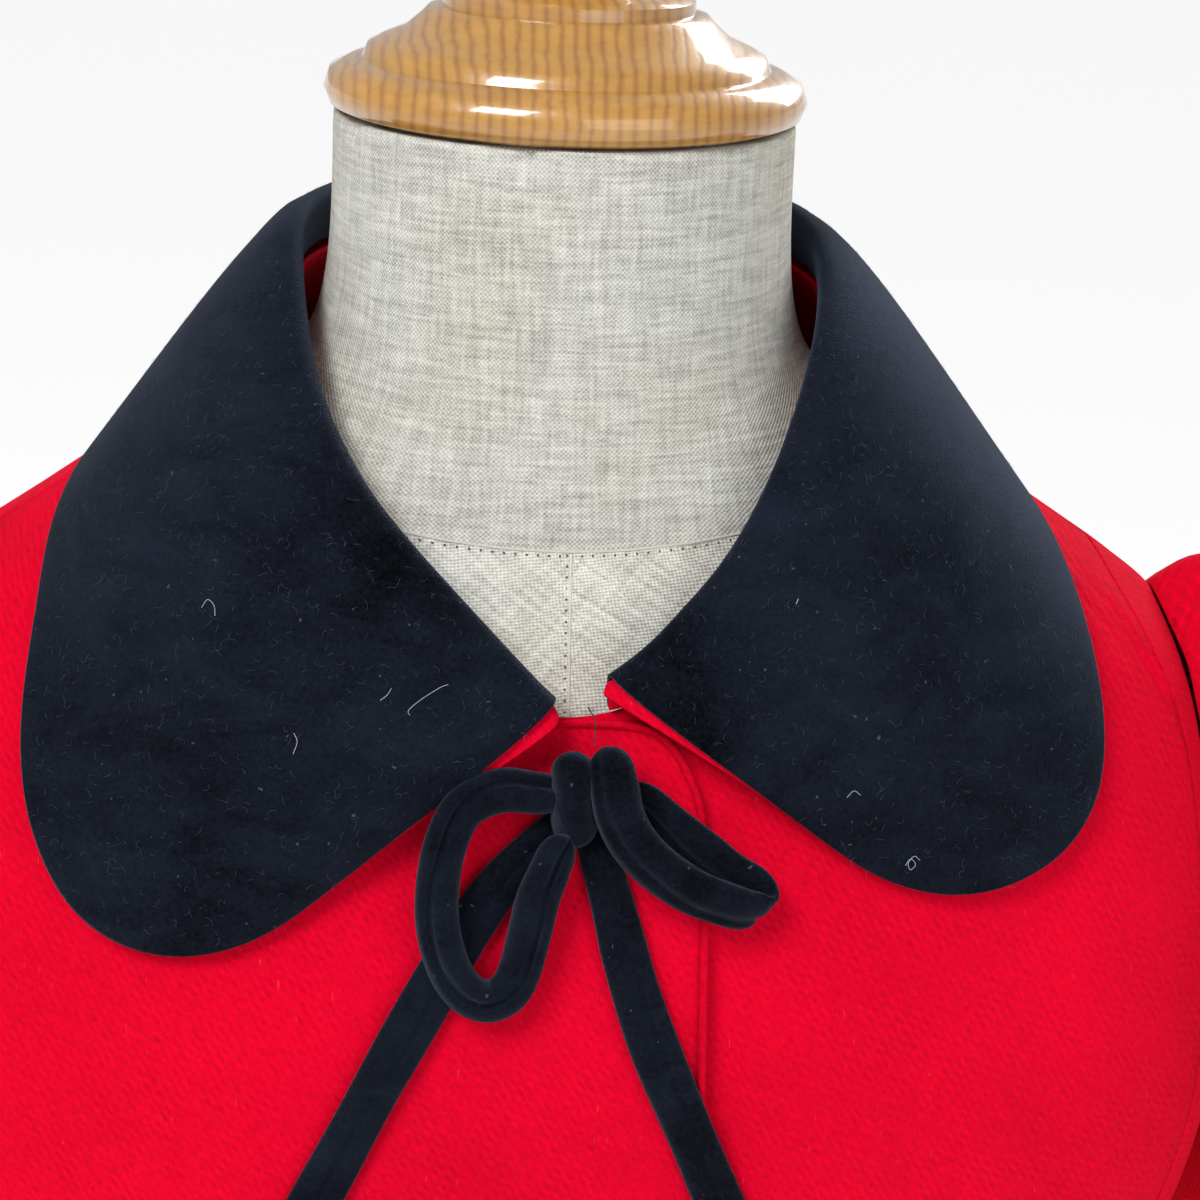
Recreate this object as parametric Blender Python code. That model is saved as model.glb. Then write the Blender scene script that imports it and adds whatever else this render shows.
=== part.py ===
"""A fitted princess coat with a velvet collar and bow, standing on a dress form.

Metres, +Z up.  The floor is z = 0, the form's axis is x = y = 0 and the front faces -Y,
so +X is the wearer's left.  An angle on the body is 0 at the centre front, 90 at the
wearer's left side and 180 at the centre back.
"""
import math

import bmesh
import bpy
import numpy as np

# ---- driving dimensions -------------------------------------------------------------
COAT_WALL = 0.0020          # wool
VELVET_WALL = 0.0014
UNDER_COLLAR_WALL = 0.0014
SEAM_GAP = 0.0003           # between any two pieces
EASE = 0.0080               # coat outside the figure, measured level
SHOULDER_LIFT = 0.0040      # coat above the figure's shoulders
SHOULDER_FIT = 0.0052       # the form under it, measured level where the coat rests on it
HEM_HEIGHT = 0.420

LAP = 0.0028                # how far the upper front stands off the lower one
UPPER_FRONT_EDGE = 0.035    # front edge past the centre line
LOWER_FRONT_EDGE = 0.030
LAP_STARTS = 0.062
LAP_FULL = 0.036

NECK_TOP = 1.500

ARMHOLE_STEPS = 14          # straight steps round the armhole
COLUMNS_A_STEP = 3          # columns of the sleeve to each of them
GATHERS = 14
GATHER_DEPTH = 0.0026
SLEEVE_STANDS_OFF = 0.0003

TIE_WIDTH = 0.0125
TIE_TUBE_RADIUS = 0.0032

BUTTON_RADIUS = 0.0115
BUTTON_THICKNESS = 0.0038

# height of each button, and how far its back stands off the cloth's own curve
BUTTON_ROWS = ((1.190, 0.0000), (1.120, 0.0007), (1.050, 0.0015), (0.975, 0.0014))

POLE_RADIUS = 0.0140
FORM_SIDES = 28

# the figure: height, half width, front depth, back depth, squareness
FORM_ROWS = (
    (1.500, 0.0625, 0.0625, 0.0625, 2.00),   # top of the neck
    (1.465, 0.0630, 0.0630, 0.0640, 2.00),
    (1.445, 0.0665, 0.0635, 0.0680, 2.00),   # nape
    (1.430, 0.0760, 0.0643, 0.0735, 2.00),   # side of the neck
    (1.412, 0.0980, 0.0655, 0.0800, 2.00),
    (1.391, 0.1280, 0.0680, 0.0870, 2.10),   # middle of the shoulder
    (1.3755, 0.1530, 0.0725, 0.0920, 2.25),
    (1.360, 0.1720, 0.0780, 0.0960, 2.45),   # shoulder tip
    (1.335, 0.1830, 0.0870, 0.1010, 2.75),
    (1.300, 0.1885, 0.1000, 0.1050, 3.00),   # chest
    (1.240, 0.1950, 0.1170, 0.1060, 3.30),
    (1.190, 0.1860, 0.1290, 0.1020, 3.00),   # bust
    (1.110, 0.1490, 0.1130, 0.0930, 2.35),
    (1.020, 0.1160, 0.0960, 0.0840, 2.20),   # waist
    (0.930, 0.1400, 0.1050, 0.1000, 2.20),
    (0.840, 0.1620, 0.1130, 0.1180, 2.20),   # hip
    (0.770, 0.1580, 0.1080, 0.1120, 2.20),   # foot of the torso
)

# the coat's skirt: height, half width, front depth, back depth, squareness
SKIRT_ROWS = (
    (0.930, 0.1560, 0.1240, 0.1180, 2.15),
    (0.840, 0.1850, 0.1520, 0.1500, 2.10),
    (0.700, 0.2200, 0.1880, 0.1900, 2.05),
    (0.550, 0.2520, 0.2220, 0.2260, 2.00),
    (0.420, 0.2780, 0.2480, 0.2540, 2.00),
)

# how deep the skirt's soft folds stand: height, depth
FOLD_ROWS = ((1.020, 0.0), (0.930, 0.001), (0.840, 0.004), (0.700, 0.009), (0.550, 0.014), (0.420, 0.018))
SKIRT_FOLDS = 9
FLAT_FRONT = (9.0, 30.0)     # degrees: the lapped fronts hang flat

# neckline of the coat: angle, height
NECKLINE = (
    (0, 1.3605), (8, 1.3615), (14, 1.3650), (20, 1.3725), (28, 1.3860), (36, 1.4000), (45, 1.4160),
    (55, 1.4310), (66, 1.4430), (78, 1.4515), (88, 1.4545), (120, 1.4560), (180, 1.4550),
)
SHOULDER_SEAM_ANGLE = 88.0

# rounded upper corner of the front that laps over: angle past the centre, height
UPPER_FRONT_CORNER = ((20.4, 1.3330), (19.6, 1.3430), (18.0, 1.3515), (15.6, 1.3575), (12.0, 1.3602))

# princess seams from the shoulder to the hem: height, angle
FRONT_PRINCESS = (
    (1.382, 88.0), (1.376, 79.5), (1.368, 76.5), (1.353, 75.0), (1.334, 74.0), (1.300, 71.5),
    (1.250, 66.0), (1.190, 55.0), (1.110, 43.0), (1.020, 37.0), (0.830, 35.0), (0.420, 34.0),
)
BACK_PRINCESS = (
    (1.382, 88.0), (1.375, 98.0), (1.364, 105.0), (1.348, 111.0), (1.325, 116.0), (1.298, 121.0),
    (1.250, 130.0), (1.190, 139.0), (1.110, 146.0), (1.020, 149.0), (0.830, 148.0), (0.420, 147.0),
)

# armhole, from the shoulder down the front, round the underarm and up the back: angle, height
ARMHOLE = (
    (89.0, 1.3660), (84.0, 1.3610), (80.5, 1.3490), (78.5, 1.3320), (77.5, 1.3100), (77.5, 1.2820),
    (79.0, 1.2560), (83.0, 1.2370), (90.0, 1.2290), (98.0, 1.2370), (104.0, 1.2570), (106.0, 1.2850),
    (104.5, 1.3130), (101.5, 1.3350), (98.0, 1.3510), (93.5, 1.3620),
)
UNDERARM_INDEX = 8

# centre line of the arm below the puff: x, y, z, radius across, radius deep
ARM_RINGS = (
    (0.2600, -0.0120, 1.1850, 0.0570, 0.0640),
    (0.2650, -0.0150, 1.0900, 0.0515, 0.0560),
    (0.2690, -0.0210, 0.9950, 0.0470, 0.0510),
    (0.2740, -0.0310, 0.8900, 0.0425, 0.0450),
    (0.2790, -0.0430, 0.7900, 0.0385, 0.0400),
)
PUFF_ROWS = (0.0, 0.10, 0.22, 0.36, 0.54, 0.76)

# roll of the collar, from the front corner to the centre back: neck angle, distance from the axis, height
RIGHT_ROLL = (
    (3.5, 0.0920, 1.3675), (12.0, 0.0872, 1.3800), (19.0, 0.0860, 1.3900), (27.0, 0.0865, 1.4015),
    (36.0, 0.0880, 1.4140), (47.0, 0.0860, 1.4295), (58.0, 0.0815, 1.4420), (74.0, 0.0750, 1.4580),
    (92.0, 0.0715, 1.4680), (125.0, 0.0745, 1.4710), (180.0, 0.0790, 1.4720),
)
LEFT_ROLL = (
    (6.0, 0.0905, 1.3735), (13.0, 0.0872, 1.3800), (20.0, 0.0862, 1.3900), (27.0, 0.0870, 1.4005),
    (33.0, 0.0868, 1.4120), (41.0, 0.0840, 1.4270), (52.0, 0.0795, 1.4450), (72.0, 0.0740, 1.4610),
    (92.0, 0.0715, 1.4690), (125.0, 0.0745, 1.4715), (180.0, 0.0790, 1.4720),
)
# outline of the collar on the coat: way round from the front edge to the back, angle, height
RIGHT_OUTLINE = (
    (0.00, 35.0, 1.3130), (0.07, 39.5, 1.3050), (0.14, 44.4, 1.3020), (0.21, 49.8, 1.3050), (0.27, 54.0, 1.3130),
    (0.33, 57.8, 1.3260), (0.39, 61.2, 1.3420), (0.45, 64.4, 1.3605), (0.51, 69.2, 1.3785), (0.57, 77.0, 1.3905),
    (0.63, 84.5, 1.3985), (0.70, 96.0, 1.4045), (0.78, 114.0, 1.4080), (0.86, 135.0, 1.4075),
    (0.93, 157.0, 1.4045), (1.00, 180.0, 1.4030),
)
LEFT_OUTLINE = (
    (0.00, 37.5, 1.3245), (0.07, 42.5, 1.3172), (0.14, 46.8, 1.3150), (0.21, 51.6, 1.3165), (0.27, 56.2, 1.3220),
    (0.33, 59.8, 1.3305), (0.39, 62.9, 1.3425), (0.45, 66.2, 1.3610), (0.51, 71.0, 1.3785), (0.57, 77.5, 1.3900),
    (0.63, 84.5, 1.3985), (0.70, 96.0, 1.4050), (0.78, 114.0, 1.4085), (0.86, 135.0, 1.4080),
    (0.93, 157.0, 1.4045), (1.00, 180.0, 1.4030),
)
COLLAR_STATIONS = 18        # on each half
COLLAR_STAND = (0.0, 0.55)
COLLAR_FALL = (0.0, 0.08, 0.18, 0.32, 0.48, 0.65, 0.82, 1.0)
COLLAR_REST = 0.0042        # middle of the collar's two layers above the middle of the coat's wall
UNDER_COLLAR_SHOWS = 0.0040

# the bow: centre lines as x, y, z
LEFT_LOOP = (
    (0.0085, -0.1032, 1.3580), (0.0088, -0.1072, 1.3515), (0.0106, -0.1110, 1.3440), (0.0150, -0.1132, 1.3370),
    (0.0215, -0.1145, 1.3312), (0.0300, -0.1148, 1.3258), (0.0385, -0.1142, 1.3215), (0.0455, -0.1122, 1.3190),
    (0.0485, -0.1092, 1.3200), (0.0462, -0.1064, 1.3235), (0.0400, -0.1056, 1.3280), (0.0325, -0.1046, 1.3335),
    (0.0250, -0.1032, 1.3390), (0.0185, -0.1020, 1.3440),
)
RIGHT_LOOP = (
    (-0.0056, -0.1035, 1.3478), (-0.0110, -0.1040, 1.3480), (-0.0170, -0.1045, 1.3478), (-0.0235, -0.1060, 1.3452),
    (-0.0290, -0.1092, 1.3395), (-0.0325, -0.1132, 1.3315), (-0.0338, -0.1172, 1.3215), (-0.0333, -0.1202, 1.3115),
    (-0.0303, -0.1215, 1.3030), (-0.0250, -0.1212, 1.2975), (-0.0190, -0.1200, 1.2965), (-0.0145, -0.1185, 1.3010),
    (-0.0122, -0.1160, 1.3080), (-0.0105, -0.1148, 1.3150), (-0.0085, -0.1138, 1.3225), (-0.0062, -0.1125, 1.3285),
    (-0.0038, -0.1112, 1.3332),
)
# the two free ends as x and z; they lie on the coat
LEFT_TAIL = (
    (0.0050, 1.3325), (0.0075, 1.3280), (0.0108, 1.3165), (0.0150, 1.3010), (0.0210, 1.2840), (0.0290, 1.2660),
    (0.0380, 1.2450), (0.0470, 1.2240), (0.0550, 1.2030), (0.0610, 1.1800), (0.0645, 1.1550), (0.0665, 1.1300),
    (0.0675, 1.1050), (0.0680, 1.0800),
)
RIGHT_TAIL = (
    (-0.0048, 1.3345), (-0.0100, 1.3318), (-0.0170, 1.3250), (-0.0260, 1.3130), (-0.0360, 1.2960),
    (-0.0470, 1.2760), (-0.0580, 1.2550), (-0.0690, 1.2350), (-0.0790, 1.2140), (-0.0860, 1.1900),
    (-0.0900, 1.1640), (-0.0920, 1.1380), (-0.0930, 1.1120), (-0.0935, 1.0900),
)
KNOT_CENTRE = (-0.0008, -0.1038, 1.3480)
KNOT_HALF = (0.0042, 0.0066, 0.0126)

# the wooden neck cap: radius, height above the neck
CAP_PROFILE = (
    (0.0590, 0.0003), (0.0630, 0.0020), (0.0645, 0.0060), (0.0630, 0.0105), (0.0580, 0.0130), (0.0545, 0.0136),
    (0.0540, 0.0146), (0.0530, 0.0170), (0.0490, 0.0190), (0.0430, 0.0215), (0.0385, 0.0255), (0.0370, 0.0270),
    (0.0335, 0.0275), (0.0335, 0.0305), (0.0310, 0.0320), (0.0150, 0.0335), (0.0125, 0.0360), (0.0135, 0.0400),
    (0.0190, 0.0460), (0.0210, 0.0540), (0.0185, 0.0620), (0.0110, 0.0675),
)
# the foot: radius, height
BASE_PROFILE = (
    (0.1850, 0.0000), (0.1850, 0.0120), (0.1780, 0.0190), (0.1500, 0.0230), (0.0600, 0.0290), (0.0420, 0.0380),
    (0.0300, 0.0520), (0.0240, 0.0560),
)


# ---- interpolation ------------------------------------------------------------------
def through(keys, values, at):
    """A smooth curve through the values that never overshoots between them."""
    keys = np.asarray(keys, float)
    values = np.asarray(values, float)
    at = np.clip(np.asarray(at, float), keys[0], keys[-1])
    step = np.diff(keys)
    slope = np.diff(values) / step
    tangent = np.zeros(len(keys))
    tangent[0], tangent[-1] = slope[0], slope[-1]
    for i in range(1, len(keys) - 1):
        if slope[i - 1] * slope[i] > 0:
            first = 2 * step[i] + step[i - 1]
            second = step[i] + 2 * step[i - 1]
            tangent[i] = (first + second) / (first / slope[i - 1] + second / slope[i])
    i = np.clip(np.searchsorted(keys, at) - 1, 0, len(keys) - 2)
    t = (at - keys[i]) / step[i]
    return ((2 * t**3 - 3 * t**2 + 1) * values[i] + (t**3 - 2 * t**2 + t) * step[i] * tangent[i]
            + (3 * t**2 - 2 * t**3) * values[i + 1] + (t**3 - t**2) * step[i] * tangent[i + 1])


def smooth_step(low, high, value):
    t = np.clip((np.asarray(value, float) - low) / (high - low), 0.0, 1.0)
    return t * t * (3 - 2 * t)


def spline(points, count, closed=False):
    """A Catmull-Rom curve through the points, read at count even steps of its length."""
    points = np.asarray(points, float)
    if closed:
        padded = np.vstack([points[-1], points, points[0], points[1]])
    else:
        padded = np.vstack([2 * points[0] - points[1], points, 2 * points[-1] - points[-2]])
    fine = []
    for i in range(len(padded) - 3):
        before, start, end, after = padded[i:i + 4]
        for t in np.linspace(0, 1, 16, endpoint=False):
            fine.append(0.5 * (2 * start + (end - before) * t + (2 * before - 5 * start + 4 * end - after) * t**2
                               + (3 * start - before - 3 * end + after) * t**3))
    fine.append(padded[-2])
    fine = np.array(fine)
    length = np.concatenate([[0], np.cumsum(np.linalg.norm(np.diff(fine, axis=0), axis=1))])
    at = np.linspace(0, length[-1], count, endpoint=not closed)
    return np.stack([np.interp(at, length, fine[:, k]) for k in range(fine.shape[1])], axis=1)


def unit(vector):
    vector = np.asarray(vector, float)
    return vector / np.maximum(np.linalg.norm(vector, axis=-1, keepdims=True), 1e-12)


# ---- body surfaces ------------------------------------------------------------------
class Skin:
    """A surface round the body, given by its level sections."""

    def __init__(self, rows, folds=None):
        rows = sorted(rows)
        self.heights = [row[0] for row in rows]
        self.columns = [[row[k] for row in rows] for k in range(1, 5)]
        self.folds = sorted(folds) if folds else None

    def radius(self, angle, z):
        half_width, front, back, square = [through(self.heights, column, z) for column in self.columns]
        side, ahead = np.sin(angle), np.cos(angle)
        depth = np.where(ahead >= 0, front, back)
        radius = (np.abs(side / half_width)**square + np.abs(ahead / depth)**square)**(-1 / square)
        if self.folds:
            deep = through([row[0] for row in self.folds], [row[1] for row in self.folds], z)
            from_front = np.abs(np.arctan2(side, ahead))
            flat_front = smooth_step(FLAT_FRONT[0], FLAT_FRONT[1], np.degrees(from_front))
            radius = radius + deep * flat_front * np.cos(SKIRT_FOLDS * (math.pi - from_front)
                                                         + 0.7 * np.sin(2 * from_front))
        return radius

    def point(self, angle, z):
        angle, z = np.broadcast_arrays(np.asarray(angle, float), np.asarray(z, float))
        radius = self.radius(angle, z)
        return np.stack([radius * np.sin(angle), -radius * np.cos(angle), z], axis=-1)

    def normal(self, angle, z):
        angle, z = np.broadcast_arrays(np.asarray(angle, float), np.asarray(z, float))
        around = self.point(angle + 0.01, z) - self.point(angle - 0.01, z)
        upward = self.point(angle, z + 0.001) - self.point(angle, z - 0.001)
        return unit(np.cross(around, upward))

    def height(self, points):
        """Signed distance of points outside the surface, and the outward directions there."""
        points = np.asarray(points, float)
        angle = np.arctan2(points[..., 0], -points[..., 1])
        z = points[..., 2]
        outward = np.stack([np.sin(angle), -np.cos(angle), np.zeros_like(angle)], axis=-1)
        direction = self.normal(angle, z)
        level = np.hypot(points[..., 0], points[..., 1]) - self.radius(angle, z)
        return level * np.sum(outward * direction, axis=-1), direction

    def raised(self, points, least):
        """The points, pushed out where they lie closer to the surface than least."""
        points = np.array(points, float)
        for _ in range(4):
            away, direction = self.height(points)
            points += direction * np.maximum(least - away, 0.0)[..., None]
        return points


def coat_rows():
    rows = []
    for z, half_width, front, back, square in FORM_ROWS:
        if z < 1.0:
            continue
        lift = SHOULDER_LIFT * float(smooth_step(1.30, 1.37, z))
        rows.append((z + lift, half_width + EASE, front + EASE, back + EASE, square))
    return rows + list(SKIRT_ROWS)


def form_rows():
    """The figure, filled out at the shoulders to carry the coat."""
    rows = []
    for z, half_width, front, back, square in FORM_ROWS:
        carries = float(smooth_step(1.355, 1.390, z) * (1 - smooth_step(1.400, 1.430, z)))
        rows.append((z + SHOULDER_LIFT * carries, half_width + (EASE - SHOULDER_FIT) * carries, front, back, square))
    return rows


FORM = Skin(form_rows())
COAT = Skin(coat_rows(), FOLD_ROWS)


def run_of_height():
    """Distance down the coat from the top of its neck, for each height, beside the front."""
    heights = np.linspace(1.500, HEM_HEIGHT - 0.02, 400)
    line = COAT.point(np.radians(60.0), heights)
    run = np.concatenate([[0], np.cumsum(np.linalg.norm(np.diff(line, axis=0), axis=1))])
    return heights, run


RUN_HEIGHTS, RUN_LENGTHS = run_of_height()


def to_run(z):
    return np.interp(-np.asarray(z, float), -RUN_HEIGHTS, RUN_LENGTHS)


def to_height(run):
    return np.interp(run, RUN_LENGTHS, RUN_HEIGHTS)


def lap_offset(x):
    """How far the upper front stands out, by the distance across the centre line."""
    return LAP * smooth_step(-LAP_STARTS, -LAP_FULL, x)


def angle_at(x, z):
    """Angle in degrees of the point of the coat's front at this x and height."""
    half_width, front, _, square = [through(COAT.heights, column, z) for column in COAT.columns]
    depth = front * (1 - np.abs(x / half_width)**square)**(1 / square)
    return np.degrees(np.arctan2(x, depth))


# ---- meshes -------------------------------------------------------------------------
def material(name, colour, roughness, metallic=0.0):
    made = bpy.data.materials.get(name)
    if made is None:
        made = bpy.data.materials.new(name)
        made.use_nodes = True
        shader = made.node_tree.nodes["Principled BSDF"]
        shader.inputs["Base Color"].default_value = (*colour, 1.0)
        shader.inputs["Roughness"].default_value = roughness
        shader.inputs["Metallic"].default_value = metallic
    return made


def add_object(name, bm, finish, smooth=True):
    bmesh.ops.recalc_face_normals(bm, faces=bm.faces[:])
    mesh = bpy.data.meshes.new(name)
    bm.to_mesh(mesh)
    bm.free()
    mesh.materials.append(finish)
    if smooth:
        mesh.shade_smooth()
        mesh.set_sharp_from_angle(angle=math.radians(40))
    placed = bpy.data.objects.new(name, mesh)
    bpy.context.scene.collection.objects.link(placed)
    return placed


def cloth_wall(name, middle, normal, inner, outer, finish, tube=False):
    """A closed wall on a grid of points: inner and outer are distances along the normals.

    A tube closes on itself along its second index.
    """
    middle = np.asarray(middle, float)
    rows, columns = middle.shape[:2]
    bm = bmesh.new()
    sides = []
    for away in (inner, outer):
        layer = middle + normal * np.broadcast_to(away, (rows, columns))[..., None]
        sides.append([[bm.verts.new(point) for point in row] for row in layer])
    spans = columns if tube else columns - 1

    def cell(a, b, c, d):
        bm.faces.new((a, b, c))
        bm.faces.new((a, c, d))

    for i in range(rows - 1):
        for j in range(spans):
            k = (j + 1) % columns
            for side in sides:
                cell(side[i][j], side[i][k], side[i + 1][k], side[i + 1][j])
    for i in (0, rows - 1):
        for j in range(spans):
            k = (j + 1) % columns
            cell(sides[0][i][j], sides[0][i][k], sides[1][i][k], sides[1][i][j])
    if not tube:
        for j in (0, columns - 1):
            for i in range(rows - 1):
                cell(sides[0][i][j], sides[0][i + 1][j], sides[1][i + 1][j], sides[1][i][j])
    return add_object(name, bm, finish)


def grid_normals(points, tube=False):
    """Directions square to a grid of points."""
    down = np.gradient(points, axis=0)
    if tube:
        across = np.roll(points, -1, axis=1) - np.roll(points, 1, axis=1)
    else:
        across = np.gradient(points, axis=1)
    return unit(np.cross(down, across))


def stacked_rings(name, rings, finish):
    """A closed solid through rings of points, with flat ends."""
    bm = bmesh.new()
    loops = [[bm.verts.new(point) for point in ring] for ring in rings]
    for lower, upper in zip(loops, loops[1:]):
        for j, vertex in enumerate(lower):
            k = (j + 1) % len(lower)
            bm.faces.new((vertex, lower[k], upper[k], upper[j]))
    bm.faces.new(loops[0])
    bm.faces.new(loops[-1])
    return add_object(name, bm, finish)


def turned(name, profile, bottom, finish, sides):
    """A turned solid: the profile is radius and height from its foot to its top."""
    turn = np.linspace(0, 2 * math.pi, sides, endpoint=False)
    rings = [[(radius * math.cos(a), radius * math.sin(a), bottom + rise) for a in turn] for radius, rise in profile]
    return stacked_rings(name, rings, finish)


def band(name, route, wide, thick, finish, across, count, sides=8):
    """A flattened stitched tube along a route, with rounded ends.

    across is its broad direction; with none, the band turns in the plane of the front.
    """
    line = spline(route, count)
    along = unit(np.gradient(line, axis=0))
    if across is None:
        across = np.cross(along, (0.0, -1.0, 0.0))
    broad = unit(across - along * np.sum(across * along, axis=1, keepdims=True))
    flat = np.cross(along, broad)
    turn = np.linspace(0, 2 * math.pi, sides, endpoint=False)
    rings = []
    for i in range(count):
        from_end = min(i, count - 1 - i)
        swell = 0.55 if from_end == 0 else 1.0
        rings.append([line[i] + swell * (broad[i] * wide / 2 * math.cos(a) + flat[i] * thick / 2 * math.sin(a))
                      for a in turn])
    return stacked_rings(name, rings, finish)


# ---- the coat's body panels ---------------------------------------------------------
# heights of the rows of points down a princess seam
SEAM_HEIGHTS = (1.382, 1.372, 1.358, 1.340, 1.316, 1.287, 1.255, 1.220, 1.180, 1.135, 1.090, 1.050, 1.015, 0.975,
                0.925, 0.850, 0.750, 0.640, 0.530, 0.420)
FRONT_LEVEL_ROW = 7         # from this row down, the rows of the two fronts are level
SIDE_LEVEL_ROW = 11
SIDE_COLUMNS = 7


def neckline_height(angle):
    return through([row[0] for row in NECKLINE], [row[1] for row in NECKLINE], np.abs(angle))


def seam(rows):
    """A princess seam as angle and run at each of its rows."""
    heights = [row[0] for row in rows][::-1]
    angles = [row[1] for row in rows][::-1]
    return np.stack([through(heights, angles, SEAM_HEIGHTS), to_run(SEAM_HEIGHTS)], axis=1)


def runs_from(top, level_row):
    """Runs that start at the height top and meet the princess seam's rows at level_row."""
    run = to_run(SEAM_HEIGHTS)
    run[:level_row] = np.linspace(to_run(top), run[level_row], level_row, endpoint=False)
    return run


def edge_at(x, top):
    """A straight front edge at this distance from the centre line, from the height top to the hem."""
    run = runs_from(top, FRONT_LEVEL_ROW)
    return np.stack([angle_at(x, to_height(run)), run], axis=1)


def spread(points, count):
    """Points at even steps along a line of angle and run."""
    points = np.asarray(points, float)
    scale = np.array([0.0022, 1.0])     # metres round the body for a degree
    length = np.concatenate([[0], np.cumsum(np.linalg.norm(np.diff(points * scale, axis=0), axis=1))])
    at = np.linspace(0, length[-1], count)
    return np.stack([np.interp(at, length, points[:, k]) for k in (0, 1)], axis=1)


def patch(top, first, last):
    """A grid of angle and run between a shaped top edge, two seams and the level hem."""
    top = np.asarray(top)[None]
    u = np.linspace(0, 1, top.shape[1])[None, :, None]
    fade = 1 - smooth_step(0.0, 0.45, np.linspace(0, 1, len(first)))[:, None, None]
    shape = top - (1 - u) * top[:, :1] - u * top[:, -1:]
    return (1 - u) * first[:, None] + u * last[:, None] + fade * shape


def drawn_back(edge, inside, normal):
    """An edge's points, moved half of a seam's gap into their own panel."""
    along = unit(np.gradient(edge, axis=0))
    inward = inside - edge
    inward -= along * np.sum(inward * along, axis=1, keepdims=True)
    inward -= normal * np.sum(inward * normal, axis=1, keepdims=True)
    return edge + unit(inward) * SEAM_GAP / 2


def panel(name, grid, mirror, finish, lapped=False):
    """A wall of wool on a grid of angle and run."""
    angle = np.radians(grid[..., 0])
    z = to_height(grid[..., 1])
    middle = COAT.point(angle, z)
    normal = COAT.normal(angle, z)
    for side, inside in ((0, 1), (-1, -2)):
        middle[:, side] = drawn_back(middle[:, side], middle[:, inside], normal[:, side])
    middle[0] = drawn_back(middle[0], middle[1], normal[0])
    if lapped:
        middle += normal * lap_offset(-middle[..., 0])[..., None]
    if mirror:
        middle = middle * (-1, 1, 1)
        normal = normal * (-1, 1, 1)
    return cloth_wall(name, middle, normal, -COAT_WALL / 2, COAT_WALL / 2, finish)


def neck_part(start, count):
    angles = start + (SHOULDER_SEAM_ANGLE - start) * np.linspace(0, 1, count)**1.4
    return np.stack([angles, to_run(neckline_height(angles))], axis=1)


def shoulder_part(count):
    run = np.linspace(to_run(neckline_height(SHOULDER_SEAM_ANGLE)), to_run(FRONT_PRINCESS[0][0]), count)
    return np.stack([np.full(count, SHOULDER_SEAM_ANGLE), run], axis=1)


def armhole_steps():
    """Front and back of the armhole as angle and run, from the shoulder to the underarm and back up."""
    hole = spline([(angle, to_run(z)) for angle, z in ARMHOLE], len(ARMHOLE) * 4, closed=True)
    underarm = UNDERARM_INDEX * 4
    count = ARMHOLE_STEPS // 2 + 1
    return spread(hole[:underarm + 1], count), spread(np.vstack([hole[underarm:], hole[:1]]), count)


def side_edge(hole):
    """Half of the armhole, then the side seam below it, as angle and run at each row."""
    run = to_run(SEAM_HEIGHTS)
    underarm = len(hole) - 1
    run[underarm:SIDE_LEVEL_ROW] = np.linspace(hole[-1, 1], run[SIDE_LEVEL_ROW], SIDE_LEVEL_ROW - underarm,
                                               endpoint=False)
    edge = np.stack([np.full(len(run), 90.0), run], axis=1)
    edge[:underarm] = hole[:-1]
    return edge


def make_panels(wool):
    front_seam = seam(FRONT_PRINCESS)
    back_seam = seam(BACK_PRINCESS)
    front_hole, back_hole = armhole_steps()

    lower_edge = edge_at(-LOWER_FRONT_EDGE, neckline_height(angle_at(LOWER_FRONT_EDGE, NECKLINE[0][1])))
    neck = neck_part(lower_edge[0, 0], 10)
    panel("front_left", patch(np.vstack([lower_edge[:1], neck[1:-1], shoulder_part(4)]), lower_edge, front_seam),
          False, wool)

    upper_edge = edge_at(-UPPER_FRONT_EDGE, UPPER_FRONT_CORNER[0][1])
    corner = [(-angle, to_run(z)) for angle, z in UPPER_FRONT_CORNER[1:]]
    upper_top = np.vstack([upper_edge[:1], corner, neck_part(-6.0, 9)[:-1], shoulder_part(4)])
    panel("front_right", patch(upper_top, upper_edge, front_seam), True, wool, lapped=True)

    across = np.linspace(0, 1, SIDE_COLUMNS)[None, :, None]
    for place, princess, hole in (("front", front_seam, front_hole), ("back", back_seam, back_hole[::-1])):
        grid = (1 - across) * princess[:, None] + across * side_edge(hole)[:, None]
        panel("side_%s_left" % place, grid, False, wool)
        panel("side_%s_right" % place, grid, True, wool)

    neck_angles = np.linspace(SHOULDER_SEAM_ANGLE, 180, 5)
    back_neck = np.stack([neck_angles, to_run(neckline_height(neck_angles))], axis=1)
    half_top = np.vstack([shoulder_part(4)[::-1], back_neck[1:]])
    other_half = half_top[::-1][1:] * (-1, 1) + (360, 0)
    panel("back", patch(np.vstack([half_top, other_half]), back_seam, back_seam * (-1, 1) + (360, 0)), False, wool)


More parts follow.
